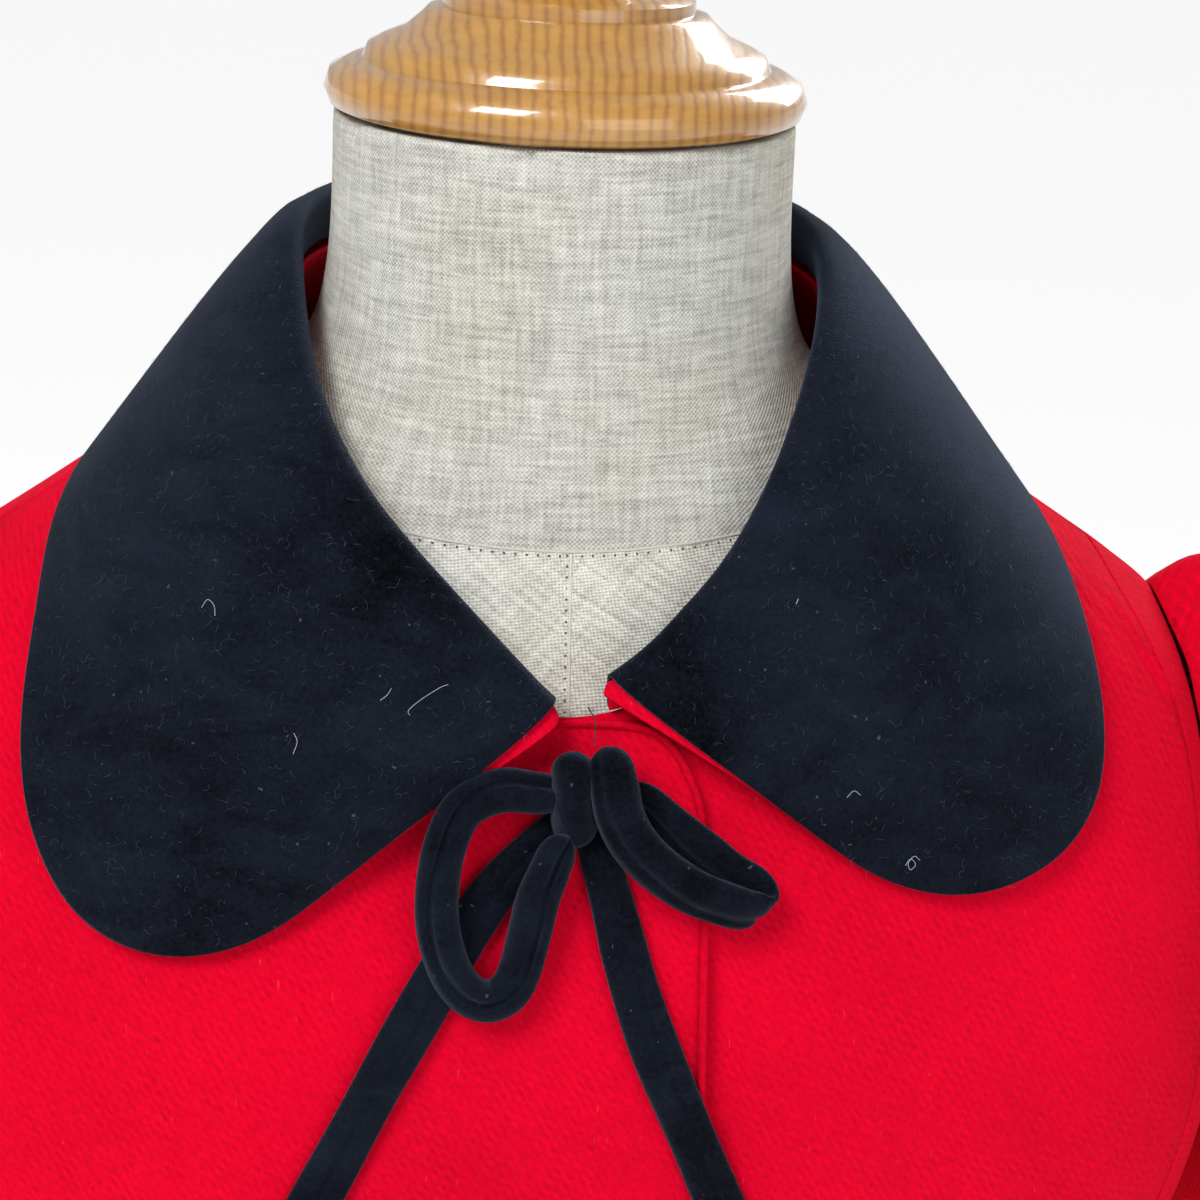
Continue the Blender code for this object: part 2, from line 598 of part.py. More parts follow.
# ---- sleeves ------------------------------------------------------------------------
def make_sleeve(name, mirror, wool):
    front_hole, back_hole = armhole_steps()
    steps = np.vstack([front_hole, back_hole[1:]])
    angle, z = np.radians(steps[:, 0]), to_height(steps[:, 1])
    share = np.linspace(0, ARMHOLE_STEPS, ARMHOLE_STEPS * COLUMNS_A_STEP, endpoint=False)
    corners = np.arange(ARMHOLE_STEPS + 1)
    seated = COAT.point(angle, z) + COAT.normal(angle, z) * (COAT_WALL / 2 + SEAM_GAP + SLEEVE_STANDS_OFF)
    start = np.stack([np.interp(share, corners, seated[:, k]) for k in range(3)], axis=1)
    direction = COAT.normal(angle, z)
    direction = unit(np.stack([np.interp(share, corners, direction[:, k]) for k in range(3)], axis=1))
    spoke = unit(start - start.mean(axis=0))
    turn = 2 * math.pi * share / ARMHOLE_STEPS
    top_share = 0.5 + 0.5 * np.cos(turn)
    rings = []
    for x, y, level, across, deep in ARM_RINGS:
        tilt = 0.12 * np.cos(turn) * across
        rings.append(np.stack([x + across * np.cos(turn), y - deep * np.sin(turn), level + tilt], axis=1))
    away = direction * (0.060 + 0.055 * top_share)[:, None] + spoke * (0.004 + 0.050 * top_share)[:, None]
    away[:, 2] += 0.030 * top_share
    arrive = rings[1] - rings[0]
    arrive = unit(arrive) * (0.055 + 0.220 * top_share)[:, None]
    rows = []
    for t in PUFF_ROWS:
        rows.append((2 * t**3 - 3 * t**2 + 1) * start + (t**3 - 2 * t**2 + t) * away
                    + (3 * t**2 - 2 * t**3) * rings[0] + (t**3 - t**2) * arrive)
    rows += rings
    middle = np.array(rows)
    normal = -grid_normals(middle, tube=True)
    normal[0] = unit(normal[0] - direction * np.sum(normal[0] * direction, axis=1, keepdims=True))
    run = np.concatenate([[0], np.cumsum(np.linalg.norm(np.diff(middle, axis=0), axis=2).mean(axis=1))])
    fullness = GATHER_DEPTH * smooth_step(0, 0.02, run) * (1 - smooth_step(0.06, 0.19, run))
    waves = np.cos(GATHERS * turn) * (0.25 + 0.75 * smooth_step(0.15, 0.5, top_share))
    middle = middle + normal * (fullness[:, None] * waves[None, :])[..., None]
    if mirror:
        middle = middle * (-1, 1, 1)
        normal = normal * (-1, 1, 1)
    cloth_wall(name, middle, normal, -COAT_WALL / 2, COAT_WALL / 2, wool, tube=True)


# ---- collar -------------------------------------------------------------------------
def collar_half(roll, outline, on_upper_front):
    """Points of half of the collar's middle surface: a station for each row, seam to edge along it."""
    share = np.linspace(0, 1, COLLAR_STATIONS)**1.1
    neck_angle = through([0, 0.3, 0.6, 1.0], [roll[0][0], 28.0, 78.0, 180.0], share)
    keys = [row[0] for row in roll]
    roll_out = through(keys, [row[1] for row in roll], neck_angle)
    roll_height = through(keys, [row[2] for row in roll], neck_angle)
    edge_keys = [row[0] for row in outline]
    edge_angle = np.radians(through(edge_keys, [row[1] for row in outline], share))
    edge_height = through(edge_keys, [row[2] for row in outline], share)
    edge = COAT.point(edge_angle, edge_height) + COAT.normal(edge_angle, edge_height) * COLLAR_REST

    neck = np.radians(neck_angle)
    seam_height = neckline_height(neck_angle)
    foot = COAT.point(neck, seam_height) + COAT.normal(neck, seam_height) * 0.0004
    foot[:, 2] += 0.0026
    outward = np.stack([np.sin(neck), -np.cos(neck), np.zeros_like(neck)], axis=1)
    crest = outward * roll_out[:, None]
    crest[:, 2] = roll_height
    if on_upper_front:
        stood_out = COAT.normal(neck, seam_height) * lap_offset(-foot[:, 0])[:, None]
        foot += stood_out
        crest += stood_out

    rows = []
    for i in range(COLLAR_STATIONS):
        rise = np.array([0.0, 0.0, max(crest[i, 2] - foot[i, 2], 0.003)])
        line = []
        for t in COLLAR_STAND:
            line.append((1 - t)**3 * foot[i] + 3 * (1 - t)**2 * t * (foot[i] + rise * 0.75)
                        + 3 * (1 - t) * t**2 * (crest[i] - outward[i] * 0.0045) + t**3 * crest[i])
        over = crest[i] + outward[i] * 0.0105
        across = over + (edge[i] - over) * 0.42
        for t in COLLAR_FALL:
            line.append((1 - t)**3 * crest[i] + 3 * (1 - t)**2 * t * over
                        + 3 * (1 - t) * t**2 * across + t**3 * edge[i])
        rows.append(line)
    middle = np.array(rows)
    fall = len(COLLAR_STAND)
    near_front = LAP * (1 - smooth_step(LAP_FULL, LAP_STARTS, np.abs(middle[:, fall:, 0])))
    reach = smooth_step(0.0, 0.20, np.array(COLLAR_FALL))[None, :]
    middle[:, fall:] = COAT.raised(middle[:, fall:], (COLLAR_REST + near_front) * reach)
    return middle


def make_collar(velvet, wool):
    right = collar_half(RIGHT_ROLL, RIGHT_OUTLINE, True) * (-1, 1, 1)
    left = collar_half(LEFT_ROLL, LEFT_OUTLINE, False)
    right[-1, :, 0] = 0.0
    left[-1, :, 0] = 0.0
    middle = np.vstack([right, ((left + right) / 2)[-1:], left[::-1]])
    middle = np.delete(middle, [COLLAR_STATIONS - 1, COLLAR_STATIONS + 1], axis=0)
    normal = grid_normals(middle)
    half = SEAM_GAP / 2
    cloth_wall("collar_velvet", middle, normal, half, half + VELVET_WALL, velvet)

    under = middle.copy()
    place = np.arange(under.shape[1])
    taper = smooth_step(0.5, 3.0, place) * (1 - 0.85 * smooth_step(3.0, place[-1], place))
    for end, inside in ((0, 1), (-1, -2)):
        beyond = unit(middle[end] - middle[inside])
        under[end] += beyond * (UNDER_COLLAR_SHOWS * taper)[:, None] - normal[end] * SEAM_GAP
    cloth_wall("collar_under", under, normal, -half - UNDER_COLLAR_WALL, -half, wool)


# ---- the bow ------------------------------------------------------------------------
def make_bow(velvet):
    knot = bmesh.new()
    bmesh.ops.create_uvsphere(knot, u_segments=14, v_segments=8, radius=1.0)
    bmesh.ops.scale(knot, vec=KNOT_HALF, verts=knot.verts[:])
    bmesh.ops.translate(knot, vec=KNOT_CENTRE, verts=knot.verts[:])
    add_object("bow_knot", knot, velvet)
    for name, route, across in (("bow_loop_left", LEFT_LOOP, np.array([0.69, 0.0, 0.72])),
                                ("bow_loop_right", RIGHT_LOOP, None)):
        band(name, route, TIE_WIDTH * 0.90, TIE_WIDTH * 0.46, velvet, across, 24)


def make_tail(name, route, velvet):
    """A free end of the tie: a round tube that lies on the coat."""
    flat = spline(route, 15)
    points = []
    for x, z in flat:
        angle = math.radians(float(angle_at(abs(x), z))) * (1 if x > 0 else -1)
        surface = COAT.point(angle, z)
        clear = COAT_WALL / 2 + LAP + TIE_TUBE_RADIUS + 0.0006
        points.append(surface + COAT.normal(angle, z) * clear)
    line = spline(points, 27)
    curve = bpy.data.curves.new(name, "CURVE")
    curve.dimensions = "3D"
    curve.bevel_depth = TIE_TUBE_RADIUS
    curve.bevel_resolution = 2
    curve.use_fill_caps = True
    run = curve.splines.new("POLY")
    run.points.add(len(line) - 1)
    for point, place in zip(run.points, line):
        point.co = (*place, 1.0)
    curve.materials.append(velvet)
    bpy.context.scene.collection.objects.link(bpy.data.objects.new(name, curve))


# ---- buttons, form and stand --------------------------------------------------------
def make_buttons(finish):
    for number, (z, stand_off) in enumerate(BUTTON_ROWS, 1):
        direction = COAT.normal(0.0, z)
        away = COAT_WALL / 2 + LAP + stand_off + BUTTON_THICKNESS / 2
        place = COAT.point(0.0, z) + direction * away
        disc = bmesh.new()
        bmesh.ops.create_cone(disc, cap_ends=True, segments=20, radius1=BUTTON_RADIUS, radius2=BUTTON_RADIUS * 0.9,
                              depth=BUTTON_THICKNESS)
        button = add_object("button_%d" % number, disc, finish)
        button.rotation_euler = (math.atan2(-direction[1], direction[2]), 0.0, 0.0)
        button.location = place


def make_form(linen, wood):
    heights = [0.770, 0.800, 0.850, 0.905, 0.960, 1.020, 1.080, 1.135, 1.190, 1.240, 1.290, 1.330,
               1.357, 1.376, 1.390, 1.402, 1.413, 1.423, 1.433, 1.445, 1.465, 1.500]
    turn = np.linspace(0, 2 * math.pi, FORM_SIDES, endpoint=False)
    rings = [FORM.point(turn, np.full(FORM_SIDES, z)) for z in heights]
    stacked_rings("form_body", rings, linen)
    turned("neck_cap", CAP_PROFILE, NECK_TOP, wood, 24)
    turned("stand_base", BASE_PROFILE, 0.0, wood, 32)
    foot = BASE_PROFILE[-1][1] + SEAM_GAP
    head = FORM_ROWS[-1][0] - SEAM_GAP
    turned("stand_pole", ((POLE_RADIUS, 0.0), (POLE_RADIUS, (head - foot) / 2), (POLE_RADIUS, head - foot)), foot,
           wood, 16)


def main():
    for existing in list(bpy.data.objects):
        bpy.data.objects.remove(existing)
    wool = material("red_wool", (0.72, 0.004, 0.018), 0.9)
    velvet = material("black_velvet", (0.006, 0.007, 0.010), 0.95)
    linen = material("linen", (0.60, 0.57, 0.50), 0.85)
    wood = material("varnished_wood", (0.52, 0.27, 0.09), 0.25)
    button = material("black_button", (0.012, 0.012, 0.014), 0.35)
    make_form(linen, wood)
    make_panels(wool)
    make_sleeve("sleeve_left", False, wool)
    make_sleeve("sleeve_right", True, wool)
    make_collar(velvet, wool)
    make_bow(velvet)
    make_tail("tie_tail_left", LEFT_TAIL, velvet)
    make_tail("tie_tail_right", RIGHT_TAIL, velvet)
    make_buttons(button)


main()
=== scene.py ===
import math
import random

import bmesh
import bpy
import numpy as np
from mathutils import Matrix, Vector
from mathutils.bvhtree import BVHTree


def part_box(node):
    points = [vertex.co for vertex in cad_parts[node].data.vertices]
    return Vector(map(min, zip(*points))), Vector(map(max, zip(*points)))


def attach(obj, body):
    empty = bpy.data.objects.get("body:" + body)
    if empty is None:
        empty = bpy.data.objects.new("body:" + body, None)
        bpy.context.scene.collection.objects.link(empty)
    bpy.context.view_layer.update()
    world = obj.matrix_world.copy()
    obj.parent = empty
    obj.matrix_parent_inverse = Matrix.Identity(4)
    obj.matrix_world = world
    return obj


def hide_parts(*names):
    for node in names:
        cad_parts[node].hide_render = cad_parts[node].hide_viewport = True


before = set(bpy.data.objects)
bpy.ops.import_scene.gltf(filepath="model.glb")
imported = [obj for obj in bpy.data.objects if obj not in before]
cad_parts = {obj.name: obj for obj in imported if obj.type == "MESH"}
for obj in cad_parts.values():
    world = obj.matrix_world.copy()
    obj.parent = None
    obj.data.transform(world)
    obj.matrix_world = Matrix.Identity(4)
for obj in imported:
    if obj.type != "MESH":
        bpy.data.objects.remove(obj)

random.seed(11)
scene = bpy.context.scene
scene.view_settings.view_transform = "Standard"
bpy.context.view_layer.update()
print("frame loaded")

# ---- camera, set from the photo ----
camera = dict(place=(-0.0482, -0.5921, 1.5915), heading=-6.117, down=21.304, roll=2.57, lens=65.46)


def makeCamera():
    turn, tip, roll = (math.radians(camera[k]) for k in ("heading", "down", "roll"))
    ahead = Vector((-math.sin(turn) * math.cos(tip), math.cos(turn) * math.cos(tip), -math.sin(tip)))
    right = Vector((math.cos(turn), math.sin(turn), 0))
    up = right.cross(ahead)
    across = right * math.cos(roll) + up * math.sin(roll)
    above = up * math.cos(roll) - right * math.sin(roll)
    data = bpy.data.cameras.new("camera")
    data.lens = camera["lens"]
    data.sensor_width = 36
    data.clip_start, data.clip_end = 0.02, 200
    cam = bpy.data.objects.new("camera", data)
    scene.collection.objects.link(cam)
    turned = Matrix((across, above, -ahead)).transposed().to_4x4()
    cam.matrix_world = Matrix.Translation(camera["place"]) @ turned
    scene.camera = cam


makeCamera()


# ---- helpers for nodes in materials ----
class Shade:
    # a short way to add and join shader nodes
    sockets = dict(sheen="Sheen Weight", sheenRough="Sheen Roughness", sheenTint="Sheen Tint",
                   coat="Coat Weight", coatRough="Coat Roughness", specular="Specular IOR Level")

    def __init__(self, name):
        self.material = bpy.data.materials.new(name)
        self.material.use_nodes = True
        self.tree = self.material.node_tree
        self.shader = self.tree.nodes["Principled BSDF"]
        self.coords = self.tree.nodes.new("ShaderNodeTexCoord")

    def add(self, kind, inputs=(), **settings):
        node = self.tree.nodes.new("ShaderNode" + kind)
        for key, value in settings.items():
            setattr(node, key, value)
        for key, value in dict(inputs).items():
            self.put(node.inputs[key], value)
        return node

    def put(self, socket, value):
        if isinstance(value, bpy.types.NodeSocket):
            self.tree.links.new(value, socket)
        else:
            socket.default_value = value

    def sum(self, kind, first, second=0.0, third=0.0):
        node = self.add("Math", {0: first, 1: second, 2: third}, operation=kind)
        return node.outputs[0]

    def total(self, *parts):
        # the sum of the values, each times its share
        out = 0.0
        for value, share in parts:
            out = self.sum("MULTIPLY_ADD", value, share, out)
        return out

    def noise(self, where, scale, detail=3.0, rough=0.6, distort=0.0):
        return self.add("TexNoise", {"Vector": where, "Scale": scale, "Detail": detail, "Roughness": rough,
                                     "Distortion": distort}).outputs["Fac"]

    def stretch(self, where, scale, turn=(0, 0, 0)):
        return self.add("Mapping", {"Vector": where, "Rotation": turn, "Scale": scale}).outputs["Vector"]

    def ramp(self, value, *stops):
        node = self.add("ValToRGB", {"Fac": value})
        marks = node.color_ramp.elements
        while len(marks) < len(stops):
            marks.new(0.5)
        for mark, (at, colour) in zip(marks, stops):
            mark.position = at
            mark.color = (*colour, 1) if len(colour) == 3 else colour
        return node.outputs["Color"]

    def blend(self, amount, low, high, kind="MIX"):
        node = self.add("Mix", {"Factor": amount}, data_type="RGBA", blend_type=kind)
        self.put(node.inputs[6], (*low, 1) if isinstance(low, tuple) else low)
        self.put(node.inputs[7], (*high, 1) if isinstance(high, tuple) else high)
        return node.outputs[2]

    def bump(self, height, strength, distance, below=None):
        node = self.add("Bump", {"Height": height, "Strength": strength, "Distance": distance})
        if below is not None:
            self.tree.links.new(below, node.inputs["Normal"])
        return node.outputs["Normal"]

    def finish(self, colour, roughness, normal=None, **constants):
        self.put(self.shader.inputs["Base Color"], colour)
        self.put(self.shader.inputs["Roughness"], roughness)
        if normal is not None:
            self.put(self.shader.inputs["Normal"], normal)
        for key, value in constants.items():
            self.shader.inputs[self.sockets[key]].default_value = value
        return self.material


# ---- finishes ----
def bentBy(s, where, scale, amount):
    # threads wander a little
    offset = s.add("TexNoise", {"Vector": where, "Scale": scale, "Detail": 2.0}).outputs["Color"]
    moved = s.add("VectorMath", {0: offset, "Scale": amount}, operation="SCALE").outputs[0]
    return s.add("VectorMath", {0: where, 1: moved}, operation="ADD").outputs[0]


def wave(s, where, spacing, degrees):
    # -1 to 1 across parallel threads this far apart
    turned = s.stretch(where, (1, 1, 1), (0, 0, math.radians(degrees)))
    across = s.add("SeparateXYZ", {0: turned}).outputs[0]
    return s.sum("SINE", s.sum("MULTIPLY", across, 2 * math.pi / spacing))


def grey(level):
    return level, level, level


wool = dict(light=(0.68, 0.0002, 0.0215), deep=(0.36, 0.0001, 0.009), fibre=(0.9, 0.06, 0.1),
            ribs=(0.00205, -31.0, 0.7), rows=(0.00225, -64.0, 0.55), wander=(210, 0.0016), wornOff=130,
            fuzz=1700, tufts=480, patches=19, fibres=1100, fibreFrom=0.78, fibreShare=0.22, depth=0.0003)


def redWool(name="redWool"):
    s = Shade(name)
    uv = s.coords.outputs["UV"]
    place = s.coords.outputs["Object"]
    bent = bentBy(s, uv, *wool["wander"])
    worn = s.noise(place, wool["wornOff"], 3, 0.6)
    slants = []
    for spacing, degrees, strength in (wool["ribs"], wool["rows"]):
        slants.append(s.sum("MULTIPLY", wave(s, bent, spacing, degrees), strength))
    weave = s.sum("MULTIPLY", s.sum("ADD", *slants), s.ramp(worn, (0.32, grey(0.05)), (0.66, grey(1))))
    fuzz = s.noise(place, wool["fuzz"], 4, 0.75)
    tufts = s.noise(place, wool["tufts"], 4, 0.7)
    patches = s.noise(place, wool["patches"], 3, 0.55)
    height = s.total((weave, 0.5), (fuzz, 1.5), (tufts, 1.7))
    tone = s.total((weave, 0.085), (fuzz, 0.38), (patches, 0.26), (tufts, 0.4))
    colour = s.ramp(tone, (0.28, wool["deep"]), (0.66, wool["light"]))
    fibres = s.noise(s.stretch(place, (1, 0.5, 0.1), (0.3, 0.2, 0.9)), wool["fibres"], 1, 0.5)
    shown = s.sum("MULTIPLY", s.sum("GREATER_THAN", fibres, wool["fibreFrom"]), wool["fibreShare"])
    colour = s.blend(shown, colour, wool["fibre"])
    return s.finish(colour, 0.95, s.bump(height, 0.6, wool["depth"]), sheen=0.05, sheenRough=0.5,
                    sheenTint=(1.0, 0.05, 0.1, 1), specular=0.05)


# specks are rows of scale, size, share left out, squash and lean
velvet = dict(dark=(0.0006, 0.0008, 0.0014), pale=(0.0105, 0.014, 0.0245), lint=(0.16, 0.18, 0.22),
              lintShare=0.25, nap=2400, brushed=42, patches=12, grain=900, depth=0.00055,
              specks=((300, 0.1, 0.86, (1, 1, 1), (0, 0, 0)),
                      (150, 0.06, 0.9, (1, 1, 1), (0, 0, 0)),
                      (260, 0.055, 0.9, (0.2, 1.0, 1.0), (0.4, 0.9, 0.7)),
                      (240, 0.055, 0.9, (1.0, 1.0, 0.22), (0.7, 0.3, 0.2))))


def blackVelvet():
    s = Shade("blackVelvet")
    place = s.coords.outputs["Object"]
    nap = s.noise(place, velvet["nap"], 3, 0.75)
    brushed = s.noise(s.stretch(place, (1.0, 1.0, 2.0), (0.3, 0.2, 0.5)), velvet["brushed"], 4, 0.62, 0.8)
    patches = s.noise(place, velvet["patches"], 3, 0.5)
    grain = s.noise(place, velvet["grain"], 3, 0.7)
    tone = s.total((brushed, 0.36), (patches, 0.5), (grain, 0.34))
    colour = s.ramp(tone, (0.45, velvet["dark"]), (0.8, velvet["pale"]))
    dust = None
    for scale, reach, share, squash, lean in velvet["specks"]:
        where = s.stretch(bentBy(s, place, 300, 0.003), squash, lean)
        spots = s.add("TexVoronoi", {"Vector": where, "Scale": scale})
        chosen = s.add("SeparateColor", {0: spots.outputs["Color"]}).outputs[0]
        near = s.sum("LESS_THAN", spots.outputs["Distance"], reach)
        spot = s.sum("MULTIPLY", near, s.sum("GREATER_THAN", chosen, share))
        dust = spot if dust is None else s.sum("MAXIMUM", dust, spot)
    colour = s.blend(s.sum("MULTIPLY", dust, velvet["lintShare"]), colour, velvet["lint"])
    height = s.total((nap, 0.8), (brushed, 0.8))
    return s.finish(colour, 0.9, s.bump(height, 0.9, velvet["depth"]), sheen=0.19, sheenRough=0.32,
                    sheenTint=(0.56, 0.68, 0.95, 1), specular=0.03)


# neck is painted shade: the cover above the neck seam is multiplied darker by it
linen = dict(thread=0.00116, light=(0.76, 0.755, 0.705), deep=(0.3, 0.295, 0.27), stain=(0.86, 0.82, 0.7),
             neck=(0.8, 0.805, 0.81), seam=1.399, rise=0.019, bias=38, slub=850, fuzz=2000,
             wander=(120, 0.0012), depth=0.00032)


def plainLinen():
    s = Shade("plainLinen")
    place = s.coords.outputs["Object"]
    flat = s.coords.outputs["UV"]
    side, depth, level = s.add("SeparateXYZ", {0: place}).outputs[:3]
    away = s.sum("SQRT", s.sum("MULTIPLY_ADD", side, side, s.sum("MULTIPLY", depth, depth)))
    rise = s.sum("MULTIPLY_ADD", s.sum("DIVIDE", depth, away), linen["rise"], linen["seam"] + linen["rise"])
    below = s.sum("LESS_THAN", level, rise)
    # cut on the bias below the neck
    slanted = s.stretch(flat, (1, 1, 1), (0, 0, math.radians(linen["bias"])))
    pick = s.add("Mix", {"Factor": below}, data_type="VECTOR")
    s.put(pick.inputs[4], flat)
    s.put(pick.inputs[5], slanted)
    bent = bentBy(s, pick.outputs[1], *linen["wander"])
    checks = s.sum("MULTIPLY", wave(s, bent, linen["thread"], 0), wave(s, bent, linen["thread"], 90))
    slubWeft = s.noise(s.stretch(bent, (0.09, 1.0, 1.0)), linen["slub"], 3, 0.65)
    slubWarp = s.noise(s.stretch(bent, (1.0, 0.09, 1.0)), linen["slub"], 3, 0.65)
    fuzz = s.noise(place, linen["fuzz"], 3, 0.75)
    height = s.total((checks, 0.4), (slubWarp, 0.55), (slubWeft, 0.75), (fuzz, 0.35))
    tone = s.total((checks, 0.09), (slubWarp, 0.32), (slubWeft, 0.42), (fuzz, 0.26))
    colour = s.ramp(tone, (0.33, linen["deep"]), (0.64, linen["light"]))
    # painted shade: the cover above the neck seam is darkened by the neck colour
    colour = s.blend(s.sum("SUBTRACT", 1.0, below), colour, linen["neck"], "MULTIPLY")
    aged = s.ramp(s.noise(place, 15, 3, 0.5), (0.44, grey(0.05)), (0.68, grey(0.8)))
    colour = s.blend(aged, colour, linen["stain"], "MULTIPLY")
    return s.finish(colour, 0.92, s.bump(height, 0.8, linen["depth"]), sheen=0.04, specular=0.1)


wood = dict(light=(0.46, 0.235, 0.046), deep=(0.235, 0.098, 0.014), pore=(0.16, 0.06, 0.012), line=0.0036,
            wander=55, pores=1500, poreShare=0.3, flecks=420, clouds=26, ripple=240, depth=0.0006)


def varnishedWood():
    s = Shade("varnishedWood")
    place = s.coords.outputs["Object"]
    wander = s.noise(s.stretch(place, (1, 1, 0.35)), wood["wander"], 3, 0.55)
    across = s.add("SeparateXYZ", {0: place}).outputs[0]
    bands = s.total((across, 2 * math.pi / wood["line"]), (wander, 9.0))
    growth = s.sum("POWER", s.sum("MULTIPLY_ADD", s.sum("SINE", bands), 0.5, 0.5), 2.2)
    pores = s.noise(s.stretch(place, (1.0, 1.0, 0.16)), wood["pores"], 2, 0.6)
    flecks = s.noise(s.stretch(place, (0.35, 0.35, 1.5), (0, 0.3, 0)), wood["flecks"], 2, 0.5)
    clouds = s.noise(place, wood["clouds"], 3)
    tone = s.total((growth, 0.34), (clouds, 0.42), (flecks, 0.34))
    colour = s.ramp(tone, (0.2, wood["light"]), (0.86, wood["deep"]))
    dark = s.ramp(pores, (0.6, grey(0)), (0.74, grey(1)))
    colour = s.blend(s.sum("MULTIPLY", dark, wood["poreShare"]), colour, wood["pore"])
    height = s.total((growth, -0.5), (s.noise(place, wood["ripple"], 3), 1.0))
    return s.finish(colour, 0.36, s.bump(height, 0.16, wood["depth"]), coat=0.9, coatRough=0.08, specular=0.5)


def plainFinish(name, colour, roughness, scale=300, strength=0.2, **constants):
    s = Shade(name)
    place = s.coords.outputs["Object"]
    grain = s.noise(place, scale, 3)
    darker = tuple(0.7 * c for c in colour)
    tint = s.blend(grain, darker, colour)
    return s.finish(tint, roughness, s.bump(grain, strength, 0.0003), **constants)


finishes = dict(wool=redWool(), velvet=blackVelvet(), linen=plainLinen(), wood=varnishedWood(),
                button=plainFinish("buttonHorn", (0.014, 0.014, 0.016), 0.32, 500, 0.1, coat=0.3,
                                   coatRough=0.2),
                # painted shade: the needle holes are dark dots coloured as the shade inside them
                holeShade=plainFinish("needleHoleShade", (0.1, 0.085, 0.06), 0.9, 2500, 0.3),
                darkThread=plainFinish("darkThread", (0.012, 0.012, 0.014), 0.8, 2500, 0.3),
                lint=plainFinish("lint", (0.42, 0.46, 0.5), 0.9, 2500, 0.3),
                fineLint=plainFinish("fineLint", (0.085, 0.1, 0.13), 0.9, 2500, 0.3))
print("finishes made")


# ---- shared shape tools ----
def makePiece(name, bm, finish, slot):
    bmesh.ops.recalc_face_normals(bm, faces=bm.faces)
    mesh = bpy.data.meshes.new(name)
    bm.to_mesh(mesh)
    bm.free()
    mesh.shade_smooth()
    mesh.materials.append(finishes[finish])
    piece = bpy.data.objects.new(name, mesh)
    scene.collection.objects.link(piece)
    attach(piece, "root")
    return piece


def copyOf(node):
    bm = bmesh.new()
    bm.from_mesh(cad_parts[node].data)
    bmesh.ops.remove_doubles(bm, verts=bm.verts, dist=2e-5)
    bmesh.ops.join_triangles(bm, faces=bm.faces, angle_face_threshold=0.7, angle_shape_threshold=3.1)
    return bm


def softened(bm, levels, creaseFrom, crease, thickness=None):
    # a finer, smoother copy; edges sharper than creaseFrom degrees keep most of their shape
    layer = bm.edges.layers.float.new("crease_edge")
    for edge in bm.edges:
        if len(edge.link_faces) == 2 and edge.calc_face_angle() > math.radians(creaseFrom):
            thin = thickness is None or any(min(e.calc_length() for e in face.edges) < thickness * 1.2
                                            for face in edge.link_faces)
            if thin:
                edge[layer] = crease
    mesh = bpy.data.meshes.new("coarse")
    bm.to_mesh(mesh)
    bm.free()
    coarse = bpy.data.objects.new("coarse", mesh)
    scene.collection.objects.link(coarse)
    finer = coarse.modifiers.new("finer", "SUBSURF")
    finer.levels = finer.render_levels = levels
    finer.boundary_smooth = "PRESERVE_CORNERS"
    fine = bpy.data.meshes.new_from_object(coarse.evaluated_get(bpy.context.evaluated_depsgraph_get()))
    bpy.data.objects.remove(coarse)
    bpy.data.meshes.remove(mesh)
    bm = bmesh.new()
    bm.from_mesh(fine)
    bpy.data.meshes.remove(fine)
    return bm


def layUv(bm, rule):
    layer = bm.loops.layers.uv.verify()
    for face in bm.faces:
        middle = face.calc_center_median()
        for loop in face.loops:
            loop[layer].uv = rule(loop.vert.co, middle)


def flatUv(degrees):
    # cloth that faces this way round the body; 0 is the front
    turn = math.radians(degrees)
    return lambda p, middle: (p.x * math.cos(turn) + p.y * math.sin(turn), p.z)


def roundUv(radius, centre=(0, 0)):
    def rule(p, middle):
        turn = math.atan2(p.x - centre[0], -(p.y - centre[1]))
        away = math.atan2(middle.x - centre[0], -(middle.y - centre[1]))
        if turn - away > math.pi:
            turn -= 2 * math.pi
        if away - turn > math.pi:
            turn += 2 * math.pi
        return turn * radius, p.z
    return rule


# how a crease fades: how far out it is felt, in widths, and how low it starts and ends
creases = dict(reach=2.2, tip=0.1, fade=0.7, frontFrom=-0.02)


def soften(bm, marks):
    # troughs and ridges, listed one by one, each with start, end, width, height and the way it is pushed;
    # a start and end given as x and z are laid from the front
    for start, end, wide, high, push in marks:
        flat = len(start) == 2
        start, end = (Vector((p[0], 0, p[1])) if flat else Vector(p) for p in (start, end))
        push, run = Vector(push).normalized(), end - start
        for vert in bm.verts:
            place = Vector((vert.co.x, 0, vert.co.z)) if flat else vert.co
            if flat and vert.co.y > creases["frontFrom"]:
                continue
            inside = min(max((place - start).dot(run) / run.length_squared, 0.0), 1.0)
            away = (place - start - run * inside).length / wide
            if away < creases["reach"]:
                along = creases["tip"] + (1 - 2 * creases["tip"]) * inside
                ends = math.sin(math.pi * along) ** creases["fade"]
                vert.co += push * (high * ends * math.exp(-away * away * 2))


coatNodes = ("front_right", "front_left", "side_front_right", "side_front_left", "back")


def treeOf(*names):
    verts, faces = [], []
    for name in names:
        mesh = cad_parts[name].data
        start = len(verts)
        verts += [v.co.copy() for v in mesh.vertices]
        faces += [[start + k for k in p.vertices] for p in mesh.polygons]
    return BVHTree.FromPolygons(verts, faces)


coatTree = treeOf(*coatNodes)


def onCoat(x, z, lift):
    # the point in front of the coat at this x and height, moved out by lift
    hit, normal, _, _ = coatTree.ray_cast(Vector((x, -0.4, z)), Vector((0, 1, 0)))
    return hit + normal * lift


